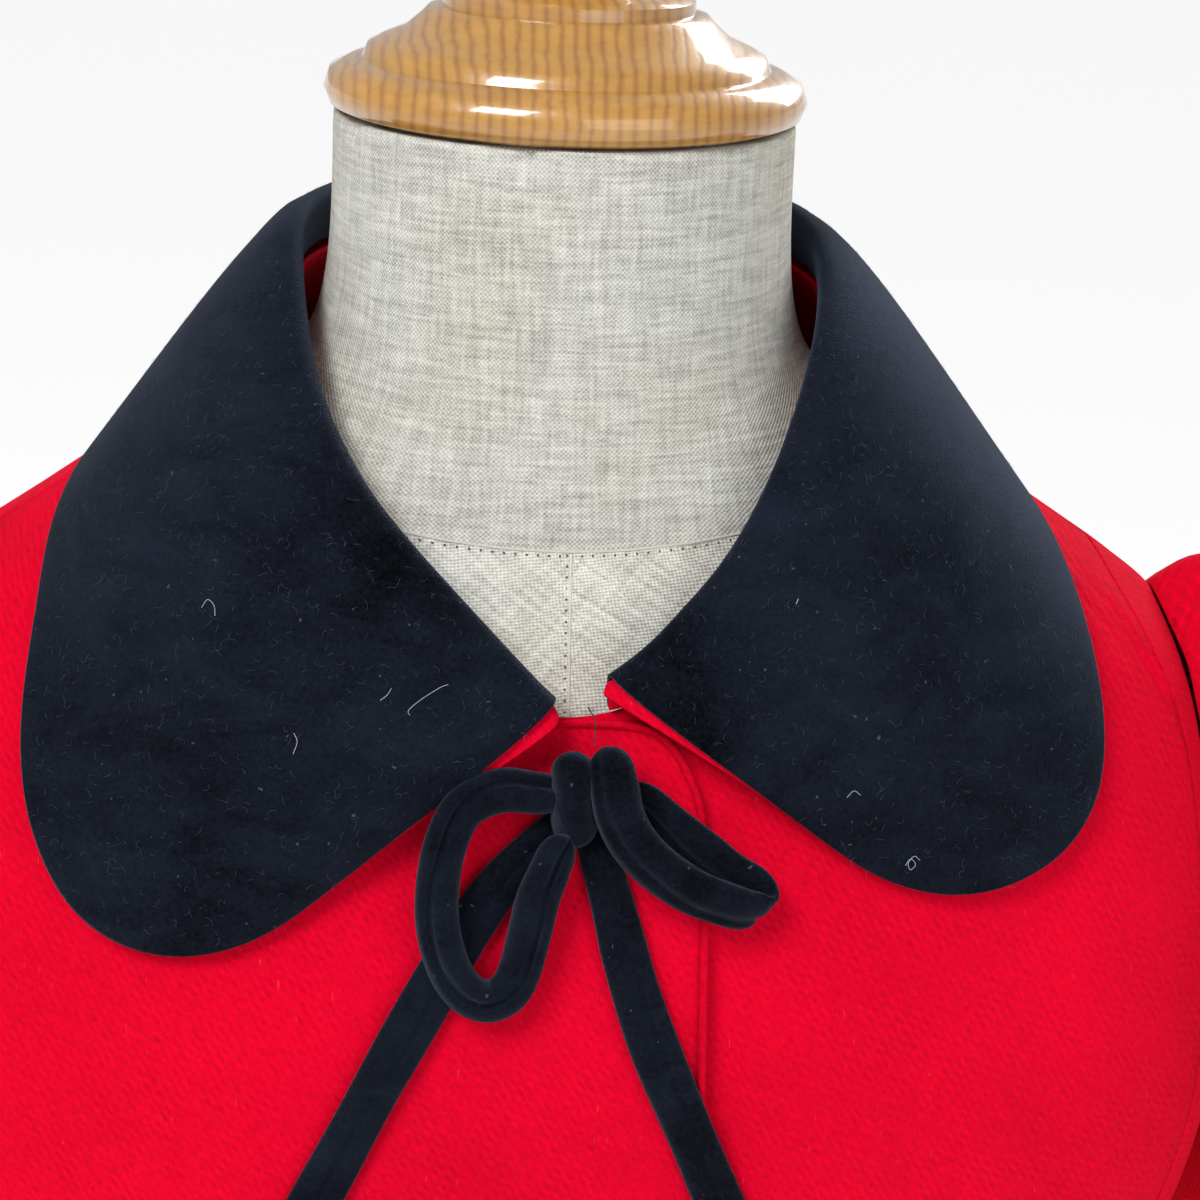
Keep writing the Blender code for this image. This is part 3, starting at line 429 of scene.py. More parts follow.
def smoothLine(points, count):
    # Catmull-Rom through the points, read at even steps
    pts = [Vector(p) for p in points]
    pts = [2 * pts[0] - pts[1]] + pts + [2 * pts[-1] - pts[-2]]
    fine = []
    for before, start, end, after in zip(pts, pts[1:], pts[2:], pts[3:]):
        for k in range(20):
            t = k / 20
            square = 2 * before - 5 * start + 4 * end - after
            cube = 3 * start - before - 3 * end + after
            fine.append(0.5 * (2 * start + (end - before) * t + square * t ** 2 + cube * t ** 3))
    fine.append(pts[-2])
    run = [0.0]
    for a, b in zip(fine, fine[1:]):
        run.append(run[-1] + (b - a).length)
    out = []
    k = 0
    for i in range(count):
        at = run[-1] * i / (count - 1)
        while k < len(run) - 2 and run[k + 1] < at:
            k += 1
        share = (at - run[k]) / max(run[k + 1] - run[k], 1e-9)
        out.append(fine[k].lerp(fine[k + 1], min(max(share, 0), 1)))
    return out


# puffs are rows of height, how often and start; the crease runs lengthwise and drifts a little
tube = dict(sides=32, capSteps=5, capLeast=0.12, square=0.94, creaseWide=0.085, drift=0.05, driftOften=0.19,
            puffs=((0.04, 0.41, 1), (0.02, 0.83, 0)))


def tie(line, flats, widths, thicks, crease, creaseAt):
    # a flat stitched velvet tube along the line; flats are the directions its broad side faces
    bm = bmesh.new()
    rings = []
    count = len(line)
    for i, point in enumerate(line):
        along = (line[min(i + 1, count - 1)] - line[max(i - 1, 0)]).normalized()
        flat = (flats[i] - along * flats[i].dot(along)).normalized()
        broad = along.cross(flat)
        made = bmesh.ops.create_circle(bm, segments=tube["sides"], radius=1.0)["verts"]
        edge = min(min(i, count - 1 - i) / tube["capSteps"], 1)
        close = max(math.sqrt(max(1 - (1 - edge) ** 2, 0.0)), tube["capLeast"])
        puff = 1 + sum(high * math.sin(i * often + start) for high, often, start in tube["puffs"])
        middle = creaseAt + tube["drift"] * math.sin(i * tube["driftOften"])
        for vert in made:
            c, d = vert.co.x, vert.co.y
            wide = math.copysign(abs(c) ** tube["square"], c) * widths[i] / 2 * close
            dent = crease * math.exp(-((wide / widths[i] - middle) / tube["creaseWide"]) ** 2) * close
            thick = d * thicks[i] / 2 * close * puff - dent * d
            vert.co = point + broad * wide + flat * thick
        rings.append([e for e in bm.edges if e.verts[0] in made and e.verts[1] in made])
    for low, high in zip(rings, rings[1:]):
        bmesh.ops.bridge_loops(bm, edges=low + high)
    for ring in (rings[0], rings[-1]):
        bmesh.ops.contextual_create(bm, geom=ring)
    return bm


# ---- the free ends of the tie ----
# routes are x and z on the front of the coat, from the knot down
tails = dict(width=0.0126, thick=0.0046, lift=0.0027, steps=110, rounds=14, crease=0.0015, creaseAt=-0.06,
             underKnot=0.0075, narrow=0.62, narrowSteps=14,
             left=((0.005, 1.3325), (0.0075, 1.328), (0.0108, 1.3165), (0.015, 1.301), (0.021, 1.284),
                   (0.029, 1.266), (0.038, 1.245), (0.047, 1.224), (0.055, 1.203), (0.061, 1.18),
                   (0.0645, 1.155), (0.0665, 1.13), (0.0675, 1.105), (0.068, 1.08)),
             right=((-0.0048, 1.3345), (-0.01, 1.3318), (-0.017, 1.325), (-0.026, 1.313), (-0.036, 1.296),
                    (-0.047, 1.276), (-0.058, 1.255), (-0.069, 1.235), (-0.079, 1.214), (-0.086, 1.19),
                    (-0.09, 1.164), (-0.092, 1.138), (-0.093, 1.112), (-0.0935, 1.09)))


def makeTail(name, route, node):
    route = ((route[0][0] * 0.4, route[0][1] + tails["underKnot"]),) + route
    line = smoothLine([onCoat(x, z, tails["lift"]) for x, z in route], tails["steps"])
    flats = [coatTree.find_nearest(point)[1] for point in line]
    flats = [flat if flat.y < -0.3 else Vector((0, -1, 0.1)) for flat in flats]
    for _ in range(tails["rounds"]):       # eases them over the step of the lapped front
        line = [line[0]] + [(a + b * 2 + c) / 4 for a, b, c in zip(line, line[1:], line[2:])] + [line[-1]]
        flats = [flats[0]] + [a + b * 2 + c for a, b, c in zip(flats, flats[1:], flats[2:])] + [flats[-1]]
        flats = [flat.normalized() for flat in flats]
    widths, thicks = [], []
    for i in range(len(line)):
        near = min(i / tails["narrowSteps"], 1.0)
        share = tails["narrow"] + (1 - tails["narrow"]) * near
        widths.append(tails["width"] * share * (1 + 0.03 * math.sin(i * 0.31)))
        thicks.append(tails["thick"] * (1 + 0.07 * math.sin(i * 0.23 + 1)))
    bm = tie(line, flats, widths, thicks, tails["crease"], tails["creaseAt"])
    piece = makePiece(name, bm, "velvet", "black_velvet")
    length = sum((b - a).length for a, b in zip(line, line[1:]))
    tuple(line[0])
    [tuple(p) for p in line]
    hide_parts(node)
    print(name, "length", round(length, 4))


makeTail("tieTailLeft", tails["left"], "tie_tail_left")
makeTail("tieTailRight", tails["right"], "tie_tail_right")
print("tails made")


# ---- the coat ----
panels = dict(levels=2, crease=0.85, thickness=0.002,
              pieces=dict(front_right=(0, "frontRight"), front_left=(0, "frontLeft"),
                          side_front_right=(-62, "sideFrontRight"), side_front_left=(62, "sideFrontLeft"),
                          side_back_right=(-118, "sideBackRight"), side_back_left=(118, "sideBackLeft"),
                          back=(180, "backPanel")),
              cut=dict(front_right=(0.245, 1.06, 0.1692), front_left=(0.24, 1.06, 0.1636),
                       side_front_right=(0.29, 0.985, 0.1562), side_front_left=(0.29, 0.985, 0.1559),
                       side_back_right=(0.315, 0.985, 0.173), side_back_left=(0.315, 0.985, 0.1731),
                       back=(0.4, 1.06, 0.2427)),
              marks=(((0.037, 1.305), (0.034, 1.08), 0.0085, -0.0026, (0, -1, 0)),
                     ((0.125, 1.33), (0.135, 1.23), 0.018, -0.0022, (0, -1, 0)),
                     ((-0.125, 1.32), (-0.132, 1.22), 0.018, -0.0022, (0, -1, 0)),
                     ((-0.09, 1.29), (-0.06, 1.21), 0.022, 0.0016, (0, -1, 0)),
                     ((0.08, 1.285), (0.06, 1.205), 0.02, 0.0014, (0, -1, 0)),
                     ((0.06, 0.11, 1.28), (0.11, 0.095, 1.16), 0.025, -0.003, (0.3, 1, 0)),
                     ((-0.06, 0.11, 1.28), (-0.115, 0.095, 1.15), 0.025, -0.0032, (-0.3, 1, 0)),
                     ((0.115, -0.17, 0.86), (0.15, -0.2, 0.47), 0.03, 0.006, (0.5, -1, 0)),
                     ((-0.11, -0.17, 0.87), (-0.14, -0.205, 0.46), 0.032, 0.0055, (-0.5, -1, 0)),
                     ((0.05, 0.17, 0.9), (0.07, 0.25, 0.47), 0.034, 0.0055, (0, 1, 0)),
                     ((-0.06, 0.17, 0.88), (-0.08, 0.25, 0.49), 0.032, 0.005, (0, 1, 0)),
                     ((0.18, 0.03, 0.88), (0.25, 0.05, 0.48), 0.03, 0.005, (1, 0.2, 0)),
                     ((-0.18, 0.02, 0.9), (-0.25, 0.03, 0.5), 0.03, 0.0055, (-1, 0.2, 0))))


def makePanels():
    for node, (facing, name) in panels["pieces"].items():
        bm = softened(copyOf(node), panels["levels"], 50, panels["crease"], panels["thickness"])
        soften(bm, panels["marks"])
        layUv(bm, flatUv(facing))
        piece = makePiece(name, bm, "wool", "red_wool")
        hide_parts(node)


makePanels()
print("panels made")

sleeves = dict(levels=2, crease=0.85, radius=0.055, centre=(0.258, -0.02), cut=(0.345, 0.6, 0.1783),
               marks=(((0.215, -0.07, 1.115), (0.28, -0.056, 1.07), 0.012, -0.004, (0, -1, 0)),
                      ((0.22, -0.075, 1.08), (0.285, -0.07, 1.045), 0.011, -0.0034, (0, -1, 0)),
                      ((0.21, -0.072, 1.15), (0.26, -0.056, 1.118), 0.012, -0.003, (0, -1, 0)),
                      ((0.295, 0.015, 1.12), (0.29, 0.01, 0.97), 0.014, -0.003, (0.6, 0.8, 0)),
                      ((0.22, -0.03, 1.345), (0.255, -0.035, 1.26), 0.008, -0.0026, (0.5, -0.8, 0)),
                      ((0.215, 0.025, 1.345), (0.255, 0.03, 1.27), 0.008, -0.0024, (0.5, 0.8, 0)),
                      ((0.225, 0.0, 1.356), (0.275, 0.0, 1.3), 0.007, -0.0022, (0.9, 0, 0.4))))


def makeSleeves():
    for node, name, side in (("sleeve_left", "sleeveLeft", 1), ("sleeve_right", "sleeveRight", -1)):
        bm = softened(copyOf(node), sleeves["levels"], 50, sleeves["crease"], 0.002)
        turn = Vector((side, 1, 1))
        soften(bm, [(Vector(start) * turn, Vector(end) * turn, wide, high, Vector(push) * turn)
                    for start, end, wide, high, push in sleeves["marks"]])
        layUv(bm, roundUv(sleeves["radius"], (sleeves["centre"][0] * side, sleeves["centre"][1])))
        piece = makePiece(name, bm, "wool", "red_wool")
        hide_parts(node)


makeSleeves()
print("sleeves made")

# ---- the collar ----
# soft rolls along the front edges and where the collar stands at the back of the neck
collar = dict(levels=3, crease=0.9,
              cut=dict(collarVelvet=(0.46, 0.26, 0.0642), collarUnder=(0.45, 0.255, 0.0613)),
              marks=(((-0.02, 1.366), (-0.078, 1.318), 0.007, 0.0024, (0, -1, 0.3)),
                     ((-0.026, 1.376), (-0.086, 1.33), 0.006, -0.0016, (0, -1, 0.3)),
                     ((0.03, 1.37), (0.082, 1.333), 0.007, 0.002, (0, -1, 0.3)),
                     ((-0.08, 1.4), (-0.11, 1.325), 0.014, 0.0024, (0, -1, 0.3)),
                     ((0.056, 1.385), (0.09, 1.345), 0.01, 0.0022, (0, -1, 0.3)),
                     ((-0.076, 0.0, 1.462), (-0.098, -0.012, 1.426), 0.005, 0.0018, (-0.6, -0.2, 0.6)),
                     ((-0.0755, 0.013, 1.464), (-0.102, 0.008, 1.425), 0.005, -0.0018, (-0.6, -0.2, 0.6)),
                     ((-0.074, 0.026, 1.466), (-0.104, 0.03, 1.424), 0.006, 0.0016, (-0.6, 0.2, 0.6)),
                     ((0.076, 0.004, 1.463), (0.101, -0.006, 1.425), 0.006, 0.0014, (0.6, -0.2, 0.6)),
                     ((0.074, 0.022, 1.466), (0.103, 0.026, 1.423), 0.006, -0.0014, (0.6, 0.2, 0.6))))


def makeCollar():
    for node, name, finish, slot in (("collar_velvet", "collarVelvet", "velvet", "black_velvet"),
                                     ("collar_under", "collarUnder", "wool", "red_wool")):
        bm = softened(copyOf(node), collar["levels"], 50, collar["crease"], 0.0014)
        soften(bm, collar["marks"])
        layUv(bm, flatUv(0))
        piece = makePiece(name, bm, finish, slot)
        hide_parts(node)


makeCollar()
print("collar made")

# ---- the bow ----
# routes are x, y, z of the middle of the tube, from the knot out and back to it; widths and thicknesses
# are rows of share of the route and size
bow = dict(steps=96,
           ring=((-0.002, -0.1045, 1.347), (-0.007, -0.1052, 1.3485), (-0.012, -0.1056, 1.3493),
                 (-0.017, -0.1058, 1.35), (-0.0228, -0.1062, 1.3487), (-0.0287, -0.1078, 1.3448),
                 (-0.0327, -0.1115, 1.3364), (-0.0343, -0.1155, 1.3268), (-0.034, -0.1185, 1.318),
                 (-0.0314, -0.1202, 1.3085), (-0.028, -0.1204, 1.3023), (-0.024, -0.12, 1.2988),
                 (-0.0197, -0.119, 1.2979), (-0.0157, -0.118, 1.3002), (-0.0133, -0.1168, 1.3052),
                 (-0.012, -0.1158, 1.3104), (-0.0108, -0.115, 1.3158), (-0.0092, -0.114, 1.3235),
                 (-0.007, -0.113, 1.3295), (-0.0045, -0.1118, 1.3355), (-0.0018, -0.11, 1.3396)),
           limb=((0.007, -0.102, 1.36), (0.0084, -0.105, 1.3562), (0.0095, -0.1085, 1.3513),
                 (0.0106, -0.1115, 1.3459), (0.014, -0.1135, 1.3394), (0.0197, -0.1148, 1.3333),
                 (0.0288, -0.1152, 1.3266), (0.0381, -0.1142, 1.322), (0.0446, -0.1122, 1.319),
                 (0.0478, -0.1094, 1.319), (0.0462, -0.1068, 1.3225), (0.0398, -0.1056, 1.3265),
                 (0.0324, -0.1046, 1.3328), (0.0245, -0.1034, 1.3395), (0.018, -0.1024, 1.3452),
                 (0.0125, -0.1018, 1.348)),
           lobe=((0.0002, -0.102, 1.3588), (-0.0004, -0.1038, 1.3548), (-0.0006, -0.105, 1.3496),
                 (-0.0007, -0.1054, 1.344), (0.0009, -0.105, 1.3385), (0.0026, -0.104, 1.3345)),
           limbBroad=(0.6, 0.0, 0.78), tipped=(0, -0.93, 0.36), limbTurn=0.3, lobeSteps=30,
           ringWide=((0, 0.01), (0.12, 0.0112), (0.6, 0.0108), (0.85, 0.0112), (1, 0.0095)),
           ringThick=((0, 0.007), (0.5, 0.0066), (1, 0.007)),
           limbWide=((0, 0.0108), (0.1, 0.0124), (0.3, 0.0124), (0.55, 0.0122), (0.75, 0.0115), (1, 0.0085)),
           limbThick=((0, 0.008), (0.15, 0.0086), (0.35, 0.0064), (0.6, 0.0052), (1, 0.005)),
           lobeWide=((0, 0.01), (0.2, 0.0116), (0.45, 0.0104), (0.75, 0.0118), (1, 0.0086)),
           lobeThick=((0, 0.008), (0.3, 0.0112), (0.7, 0.0118), (1, 0.0085)))


def loopOf(kind, flatOf, crease, creaseAt, steps):
    line = smoothLine(bow[kind], steps)
    count = len(line)
    at = [i / (count - 1) for i in range(count)]
    flats = []
    for i in range(count):
        along = (line[min(i + 1, count - 1)] - line[max(i - 1, 0)]).normalized()
        flats.append(flatOf(along, at[i]))
    widths, thicks = ([float(np.interp(t, *zip(*bow[kind + part]))) for t in at]
                      for part in ("Wide", "Thick"))
    return tie(line, flats, widths, thicks, crease, creaseAt)


def makeBow():
    tipped = Vector(bow["tipped"])
    broad = Vector(bow["limbBroad"])

    def upright(along, t):
        level = max(0.0, 1 - t / bow["limbTurn"])
        side = broad.lerp(Vector((1.0, 0.0, 0.15)), level).normalized()
        return along.cross(side)

    def twisting(along, t):
        return tipped + Vector((0.25 * math.sin(t * 7), 0, 0.1))

    # the loop whose turn faces the front; its stitched edge shows inside the turn
    bm = loopOf("ring", twisting, 0.0026, 0.16, bow["steps"])
    ring = makePiece("bowLoopRight", bm, "velvet", "black_velvet")
    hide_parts("bow_loop_right")
    # the loop that lies on its side, with its front limb over the top of the knot
    bm = loopOf("limb", upright, 0.0014, 0.22, bow["steps"])
    limb = makePiece("bowLoopLeft", bm, "velvet", "black_velvet")
    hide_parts("bow_loop_left")
    # what shows of the knot beside it
    bm = loopOf("lobe", lambda along, t: tipped, 0.0, 0.3, bow["lobeSteps"])
    knot = makePiece("bowKnot", bm, "velvet", "black_velvet")
    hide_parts("bow_knot")


makeBow()
print("bow made")

# ---- the form and its stand ----
form = dict(levels=3, neckTop=1.5, poleRadius=0.014,
            cap=((0.059, 0.0003), (0.063, 0.002), (0.0645, 0.006), (0.063, 0.0105), (0.058, 0.013),
                 (0.0545, 0.0136), (0.054, 0.0146), (0.053, 0.017), (0.049, 0.019), (0.043, 0.0215),
                 (0.0385, 0.0255), (0.037, 0.027), (0.0335, 0.0275), (0.0335, 0.0305), (0.031, 0.032),
                 (0.015, 0.0335), (0.0125, 0.036), (0.0135, 0.04), (0.019, 0.046), (0.021, 0.054),
                 (0.0185, 0.062), (0.011, 0.0675)),
            base=((0.185, 0.0), (0.185, 0.012), (0.178, 0.019), (0.15, 0.023), (0.06, 0.029),
                  (0.042, 0.038), (0.03, 0.052), (0.024, 0.056)))


def turnedPiece(name, profile, bottom, node, steps=128):
    # spun from its profile, radius and height
    bm = bmesh.new()
    points = [(0, profile[0][1])] + list(profile) + [(0, profile[-1][1])]
    verts = [bm.verts.new((r, 0, bottom + h)) for r, h in points]
    edges = [bm.edges.new(pair) for pair in zip(verts, verts[1:])]
    bmesh.ops.spin(bm, geom=verts + edges, axis=(0, 0, 1), cent=(0, 0, 0), angle=2 * math.pi, steps=steps,
                   use_merge=True, use_duplicate=False)
    bmesh.ops.remove_doubles(bm, verts=bm.verts, dist=1e-5)
    piece = makePiece(name, bm, "wood", "varnished_wood")
    piece.data.set_sharp_from_angle(angle=math.radians(50))
    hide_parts(node)


def makeForm():
    bm = softened(copyOf("form_body"), form["levels"], 70, 0.9)
    layUv(bm, roundUv(0.0625))
    piece = makePiece("formBody", bm, "linen", "linen")
    piece.data.set_sharp_from_angle(angle=math.radians(50))
    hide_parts("form_body")
    turnedPiece("neckCap", form["cap"], form["neckTop"], "neck_cap")
    turnedPiece("standBase", form["base"], 0.0, "stand_base")
    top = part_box("stand_pole")[1][2]
    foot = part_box("stand_pole")[0][2]
    radius = form["poleRadius"]
    turnedPiece("standPole", ((radius, 0.0), (radius, top - foot)), foot, "stand_pole", 64)


makeForm()
print("form made")

# ---- seams of the linen cover ----
coverSeams = dict(cord=0.00038, hole=0.00036, pitch=0.0028, front=(1.3985, 1.356), frontSteps=31,
                  beside=-0.014, around=240, stitches=150, drop=0.0012, lift=0.00005)


def neckSeamAt(angle):
    return linen["seam"] + linen["rise"] * (1 - math.cos(angle))      # lowest at the front


def formPoint(angle, z, lift=0.0):
    # the cover's surface this way round; 0 is the front
    away = Vector((math.sin(angle), -math.cos(angle), 0))
    hit, normal, _, _ = formTree.ray_cast(away * 0.5 + Vector((0, 0, z)), -away)
    return hit + normal * lift, normal


def makeSeam(name, points, normals, closed):
    # a narrow welt, half sunk in the cloth; the needle holes beside it are dark dots of painted shade
    bm = bmesh.new()
    rings = []
    count = len(points)
    for i, point in enumerate(points):
        after = points[(i + 1) % count] if closed else points[min(i + 1, count - 1)]
        before = points[i - 1] if closed or i else points[0]
        along = (after - before).normalized()
        side = along.cross(normals[i]).normalized()
        made = bmesh.ops.create_circle(bm, segments=8, radius=coverSeams["cord"])["verts"]
        for vert in made:
            vert.co = point + side * vert.co.x + normals[i] * (vert.co.y * 0.7)
        rings.append([e for e in bm.edges if e.verts[0] in made and e.verts[1] in made])
    pairs = list(zip(rings, rings[1:])) + ([(rings[-1], rings[0])] if closed else [])
    for low, high in pairs:
        bmesh.ops.bridge_loops(bm, edges=low + high)
    if not closed:
        for ring in (rings[0], rings[-1]):
            bmesh.ops.contextual_create(bm, geom=ring)
    makePiece(name, bm, "linen", "linen")


# dark dots of painted shade where the needle holes are
def makeHoles(name, places):
    bm = bmesh.new()
    for point, normal in places:
        made = bmesh.ops.create_icosphere(bm, subdivisions=1, radius=coverSeams["hole"])["verts"]
        turn = normal.to_track_quat("Z", "Y").to_matrix()
        for vert in made:
            vert.co = point + turn @ Vector((vert.co.x, vert.co.y, vert.co.z * 0.3))
    makePiece(name, bm, "holeShade", "linen")


formTree = treeOf("form_body")


def makeCover():
    turns = np.linspace(0, 2 * math.pi, coverSeams["around"], endpoint=False)
    around = [formPoint(turn, neckSeamAt(turn)) for turn in turns]
    makeSeam("neckSeam", [p for p, _ in around], [n for _, n in around], True)
    turns = np.linspace(0, 2 * math.pi, coverSeams["stitches"], endpoint=False)
    makeHoles("neckStitches", [formPoint(turn, neckSeamAt(turn) - coverSeams["drop"], coverSeams["lift"])
                               for turn in turns])
    top, bottom = coverSeams["front"]
    down = [formPoint(0.0, z) for z in np.linspace(top, bottom, coverSeams["frontSteps"])]
    makeSeam("frontSeam", [p for p, _ in down], [n for _, n in down], False)
    makeHoles("frontStitches", [formPoint(coverSeams["beside"], z, coverSeams["lift"])
                                for z in np.arange(bottom, top, coverSeams["pitch"])])


makeCover()
print("cover seams made")

# ---- loose thread and lint, as on the worn coat ----
lint = dict(radius=0.00007, threadRadius=0.00016,
            thread=((0.0048, -0.1035, 1.3606), (0.0045, -0.1018, 1.3626), (0.005, -0.099, 1.365),
                    (0.0044, -0.097, 1.3662), (0.0033, -0.095, 1.3676)),
            hairs=(((-0.0412, 1.3664), (-0.0416, 1.3676), (-0.039, 1.37), (-0.034, 1.3732), (-0.0318, 1.374)),
                   ((-0.0486, 1.37), (-0.047, 1.3712), (-0.0458, 1.373)),
                   ((0.0866, 1.3262), (0.088, 1.3278), (0.0894, 1.3262), (0.088, 1.325), (0.0874, 1.3268),
                    (0.089, 1.3284), (0.0906, 1.3272)),
                   ((-0.093, 1.388), (-0.0915, 1.39), (-0.0898, 1.389), (-0.0895, 1.3868)),
                   ((0.056, 1.392), (0.0566, 1.3932)),
                   ((-0.07, 1.356), (-0.069, 1.359), (-0.0698, 1.361)),
                   ((0.07, 1.345), (0.072, 1.3462), (0.0738, 1.345))))


def strand(name, points, radius, finish, slot, count=40):
    line = smoothLine(points, count)
    bm = bmesh.new()
    rings = []
    for i, point in enumerate(line):
        along = (line[min(i + 1, count - 1)] - line[max(i - 1, 0)]).normalized()
        turn = along.to_track_quat("Z", "Y").to_matrix()
        made = bmesh.ops.create_circle(bm, segments=6, radius=radius)["verts"]
        for vert in made:
            vert.co = point + turn @ vert.co
        rings.append([e for e in bm.edges if e.verts[0] in made and e.verts[1] in made])
    for low, high in zip(rings, rings[1:]):
        bmesh.ops.bridge_loops(bm, edges=low + high)
    for ring in (rings[0], rings[-1]):
        bmesh.ops.contextual_create(bm, geom=ring)
    return makePiece(name, bm, finish, slot)


def treeOfPiece(name):
    mesh = bpy.data.objects[name].data
    return BVHTree.FromPolygons([v.co for v in mesh.vertices], [tuple(p.vertices) for p in mesh.polygons])


collarTree = treeOfPiece("collarVelvet")


def makeLint():
    strand("looseThread", lint["thread"], lint["threadRadius"], "darkThread", "black_velvet")
    for number, hair in enumerate(lint["hairs"], 1):
        points = []
        for x, z in hair:
            hit, normal, _, _ = collarTree.ray_cast(Vector((x, -0.4, z)), Vector((0, 1, 0)))
            points.append(hit + normal * lint["radius"])
        strand("lint%d" % number, points, lint["radius"], "lint", "black_velvet")


makeLint()
print("lint made")

# ---- the turned edge of the neck and the lapped front, with its nap, and fine lint ----
frontEdge = dict(radius=0.00115, steps=260, inset=Vector((-0.0006, -0.0001, 0)), lift=0.0002,
                 neck=((-0.01, 1.3588), (-0.005, 1.3611), (0.005, 1.3613), (0.014, 1.3607), (0.02, 1.3594),
                       (0.0242, 1.3567), (0.0272, 1.353), (0.0298, 1.3484), (0.032, 1.3437),
                       (0.0332, 1.3388)),
                 down=(1.332, 0.338, 64))
edgeNap = dict(roots=(900, 420, 3), spread=(0.0009, 0.0006), out=0.0009, lean=(0.6, 0.4), radius=0.00004,
               reach=(0.0008, 0.0016), rise=1.0, curl=2.0)
fineLint = dict(count=2200, side=0.145, levels=(1.28, 1.48), depths=(-0.11, 0.12), radius=0.000028,
                reach=(0.0009, 0.003), rise=0.15, curl=3.5)


def lappedEdge(z):
    # where the upper front's own edge crosses this height
    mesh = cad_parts["front_right"].data
    found = []
    for edge in mesh.edges:
        a, b = (mesh.vertices[k].co for k in edge.vertices)
        if (a.z - z) * (b.z - z) < 0:
            found.append(a.lerp(b, (z - a.z) / (b.z - a.z)))
    reach = max((p.x for p in found), default=None)
    return None if reach is None else min((p for p in found if p.x > reach - 0.0004), key=lambda p: p.y)


def fibres(name, spots, finish, slot, look):
    # short curling hairs, each three-sided, rooted on the cloth
    radius, steps = look["radius"], 6
    verts, faces = [], []
    for point, normal in spots:
        along = Matrix.Rotation(random.uniform(0, 2 * math.pi), 3, normal) @ normal.orthogonal().normalized()
        long, bend = random.uniform(*look["reach"]), random.uniform(-look["curl"], look["curl"])
        place, first = point + normal * radius, len(verts)
        for k in range(steps):
            side, start = along.cross(normal).normalized(), len(verts)
            for corner in range(3):
                angle = corner * 2 * math.pi / 3
                verts.append(place + side * (math.cos(angle) * radius) + normal * (math.sin(angle) * radius))
            if k:
                for c in range(3):
                    after = (c + 1) % 3
                    faces.append((start - 3 + c, start - 3 + after, start + after, start + c))
            along = Matrix.Rotation(bend / (steps - 1), 3, normal) @ along
            place = place + (along + normal * look["rise"]) * (long / (steps - 1))
        last = len(verts) - 1
        faces += [(last, last - 1, last - 2), (first, first + 1, first + 2)]
    mesh = bpy.data.meshes.new("coarse")
    mesh.from_pydata(verts, [], faces)
    bm = bmesh.new()
    bm.from_mesh(mesh)
    bpy.data.meshes.remove(mesh)
    makePiece(name, bm, finish, slot)


def makeNap():
    top, bottom, count = frontEdge["down"]
    line = [onCoat(x, z, frontEdge["lift"]) for x, z in frontEdge["neck"]]
    sides = [lappedEdge(z) for z in np.linspace(top, bottom, count)]
    line += [p + frontEdge["inset"] for p in sides if p is not None and p.x > 0.02]
    strand("frontEdgeRoll", line, frontEdge["radius"], "wool", "red_wool", frontEdge["steps"])
    fine, kept, each = edgeNap["roots"]
    across, level = edgeNap["spread"]
    lean, tip = edgeNap["lean"]
    spots = []
    for p in smoothLine(line, fine)[:kept]:
        for _ in range(each):
            off = Vector((random.uniform(-1, 1) * across, -edgeNap["out"], random.uniform(-1, 1) * level))
            way = Vector((random.uniform(-lean, lean), -1, random.uniform(-tip, tip)))
            spots.append((p + off, way.normalized()))
    fibres("frontEdgeNap", spots, "wool", "red_wool", edgeNap)


def makeFineLint():
    # every other hair is found from the front, the rest from above
    spots = []
    while len(spots) < fineLint["count"]:
        x = random.uniform(-fineLint["side"], fineLint["side"])
        if len(spots) % 2:
            start, way = Vector((x, -0.4, random.uniform(*fineLint["levels"]))), Vector((0, 1, 0))
        else:
            start, way = Vector((x, random.uniform(*fineLint["depths"]), 1.6)), Vector((0, 0, -1))
        hit, normal, _, _ = collarTree.ray_cast(start, way)
        if hit is not None:
            spots.append((hit, normal))
    fibres("collarLint", spots, "fineLint", "black_velvet", fineLint)


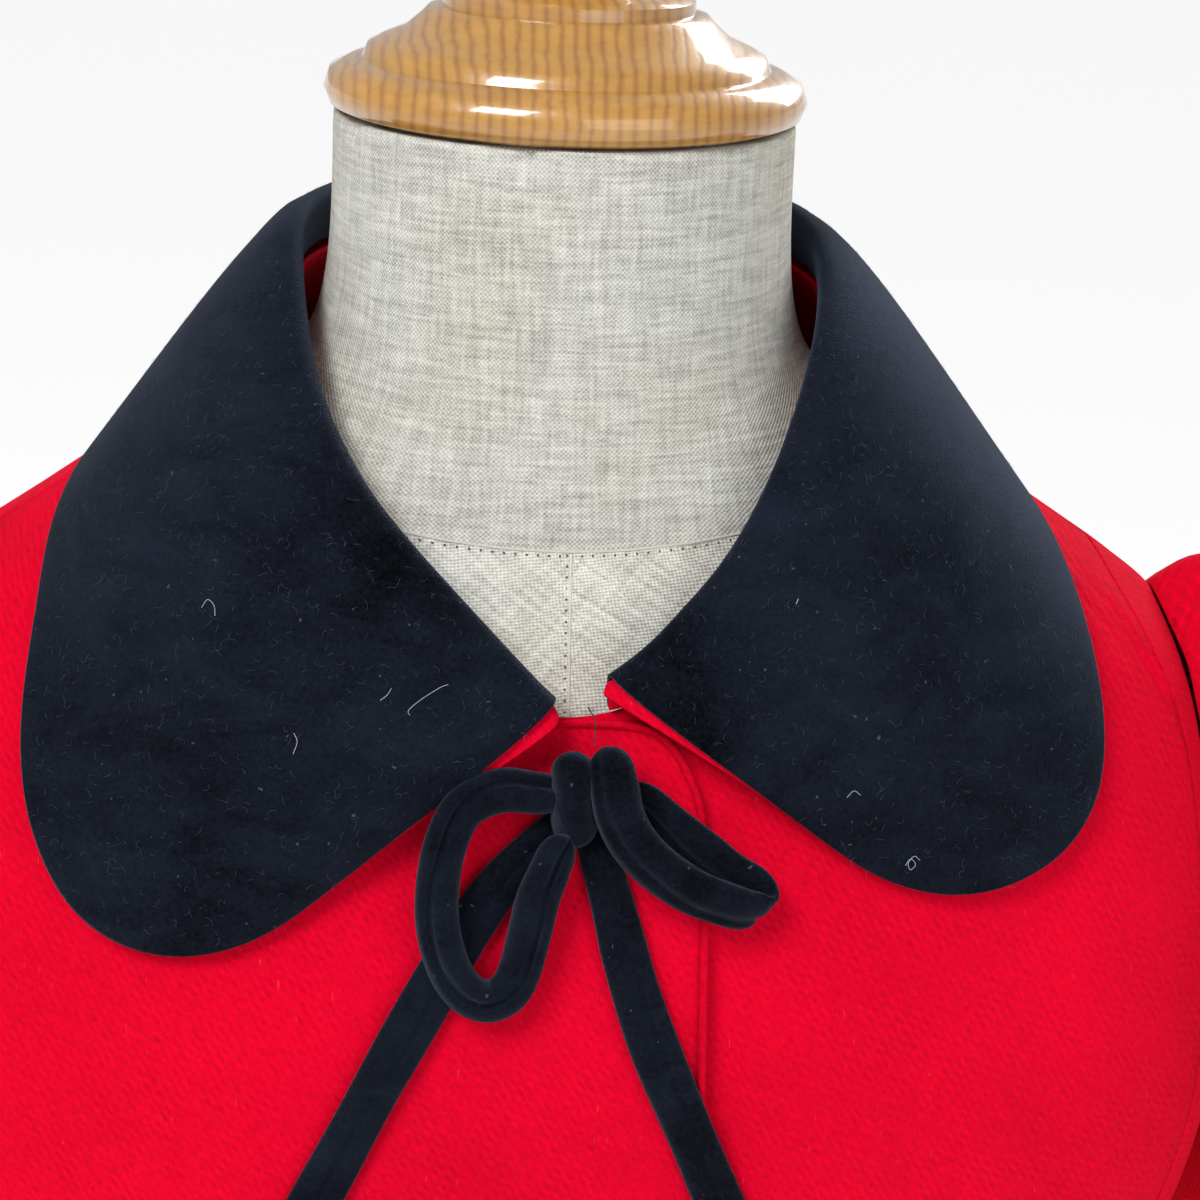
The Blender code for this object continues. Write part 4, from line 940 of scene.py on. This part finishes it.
makeNap()
makeFineLint()
print("nap made")

# ---- buttons ----
buttons = dict(count=4, levels=2, creaseFrom=40, crease=0.55)


def makeButtons():
    for number in range(1, buttons["count"] + 1):
        node = "button_%d" % number
        bm = softened(copyOf(node), buttons["levels"], buttons["creaseFrom"], buttons["crease"])
        piece = makePiece("button%d" % number, bm, "button", "black_button")
        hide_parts(node)


makeButtons()
print("buttons made")

# ---- floor and light ----
studio = dict(floor=(0.92, 0.92, 0.925), glow=0.47, world=0.5,
              lamps=(("key", (-1.0, -1.2, 3.0), 0.9, 46, (0, 0, 1.35)),
                     ("window", (1.3, 1.5, 2.3), 1.1, 36, (0, 0, 1.45)),
                     ("fill", (0.9, -1.9, 1.9), 1.6, 15, (0, 0, 1.38))))


def makeStudio():
    bm = bmesh.new()
    bmesh.ops.create_grid(bm, x_segments=1, y_segments=1, size=60)
    mesh = bpy.data.meshes.new("floor")
    bm.to_mesh(mesh)
    bm.free()
    floor = bpy.data.objects.new("floor", mesh)
    scene.collection.objects.link(floor)
    pale = bpy.data.materials.new("paleFloor")
    pale.use_nodes = True
    shader = pale.node_tree.nodes["Principled BSDF"]
    shader.inputs["Base Color"].default_value = (*studio["floor"], 1)
    shader.inputs["Roughness"].default_value = 0.95
    shader.inputs["Specular IOR Level"].default_value = 0.0
    shader.inputs["Emission Color"].default_value = (1, 1, 1, 1)
    shader.inputs["Emission Strength"].default_value = studio["glow"]
    mesh.materials.append(pale)
    world = bpy.data.worlds.new("studio")
    scene.world = world
    world.use_nodes = True
    world.node_tree.nodes["Background"].inputs["Color"].default_value = (1, 1, 1, 1)
    world.node_tree.nodes["Background"].inputs["Strength"].default_value = studio["world"]
    for name, place, size, power, aim in studio["lamps"]:
        data = bpy.data.lights.new(name, "AREA")
        data.energy = power
        data.size = size
        lamp = bpy.data.objects.new(name, data)
        scene.collection.objects.link(lamp)
        lamp.location = place
        lamp.rotation_euler = (Vector(aim) - Vector(place)).to_track_quat("-Z", "Y").to_euler()


makeStudio()
print("studio made")
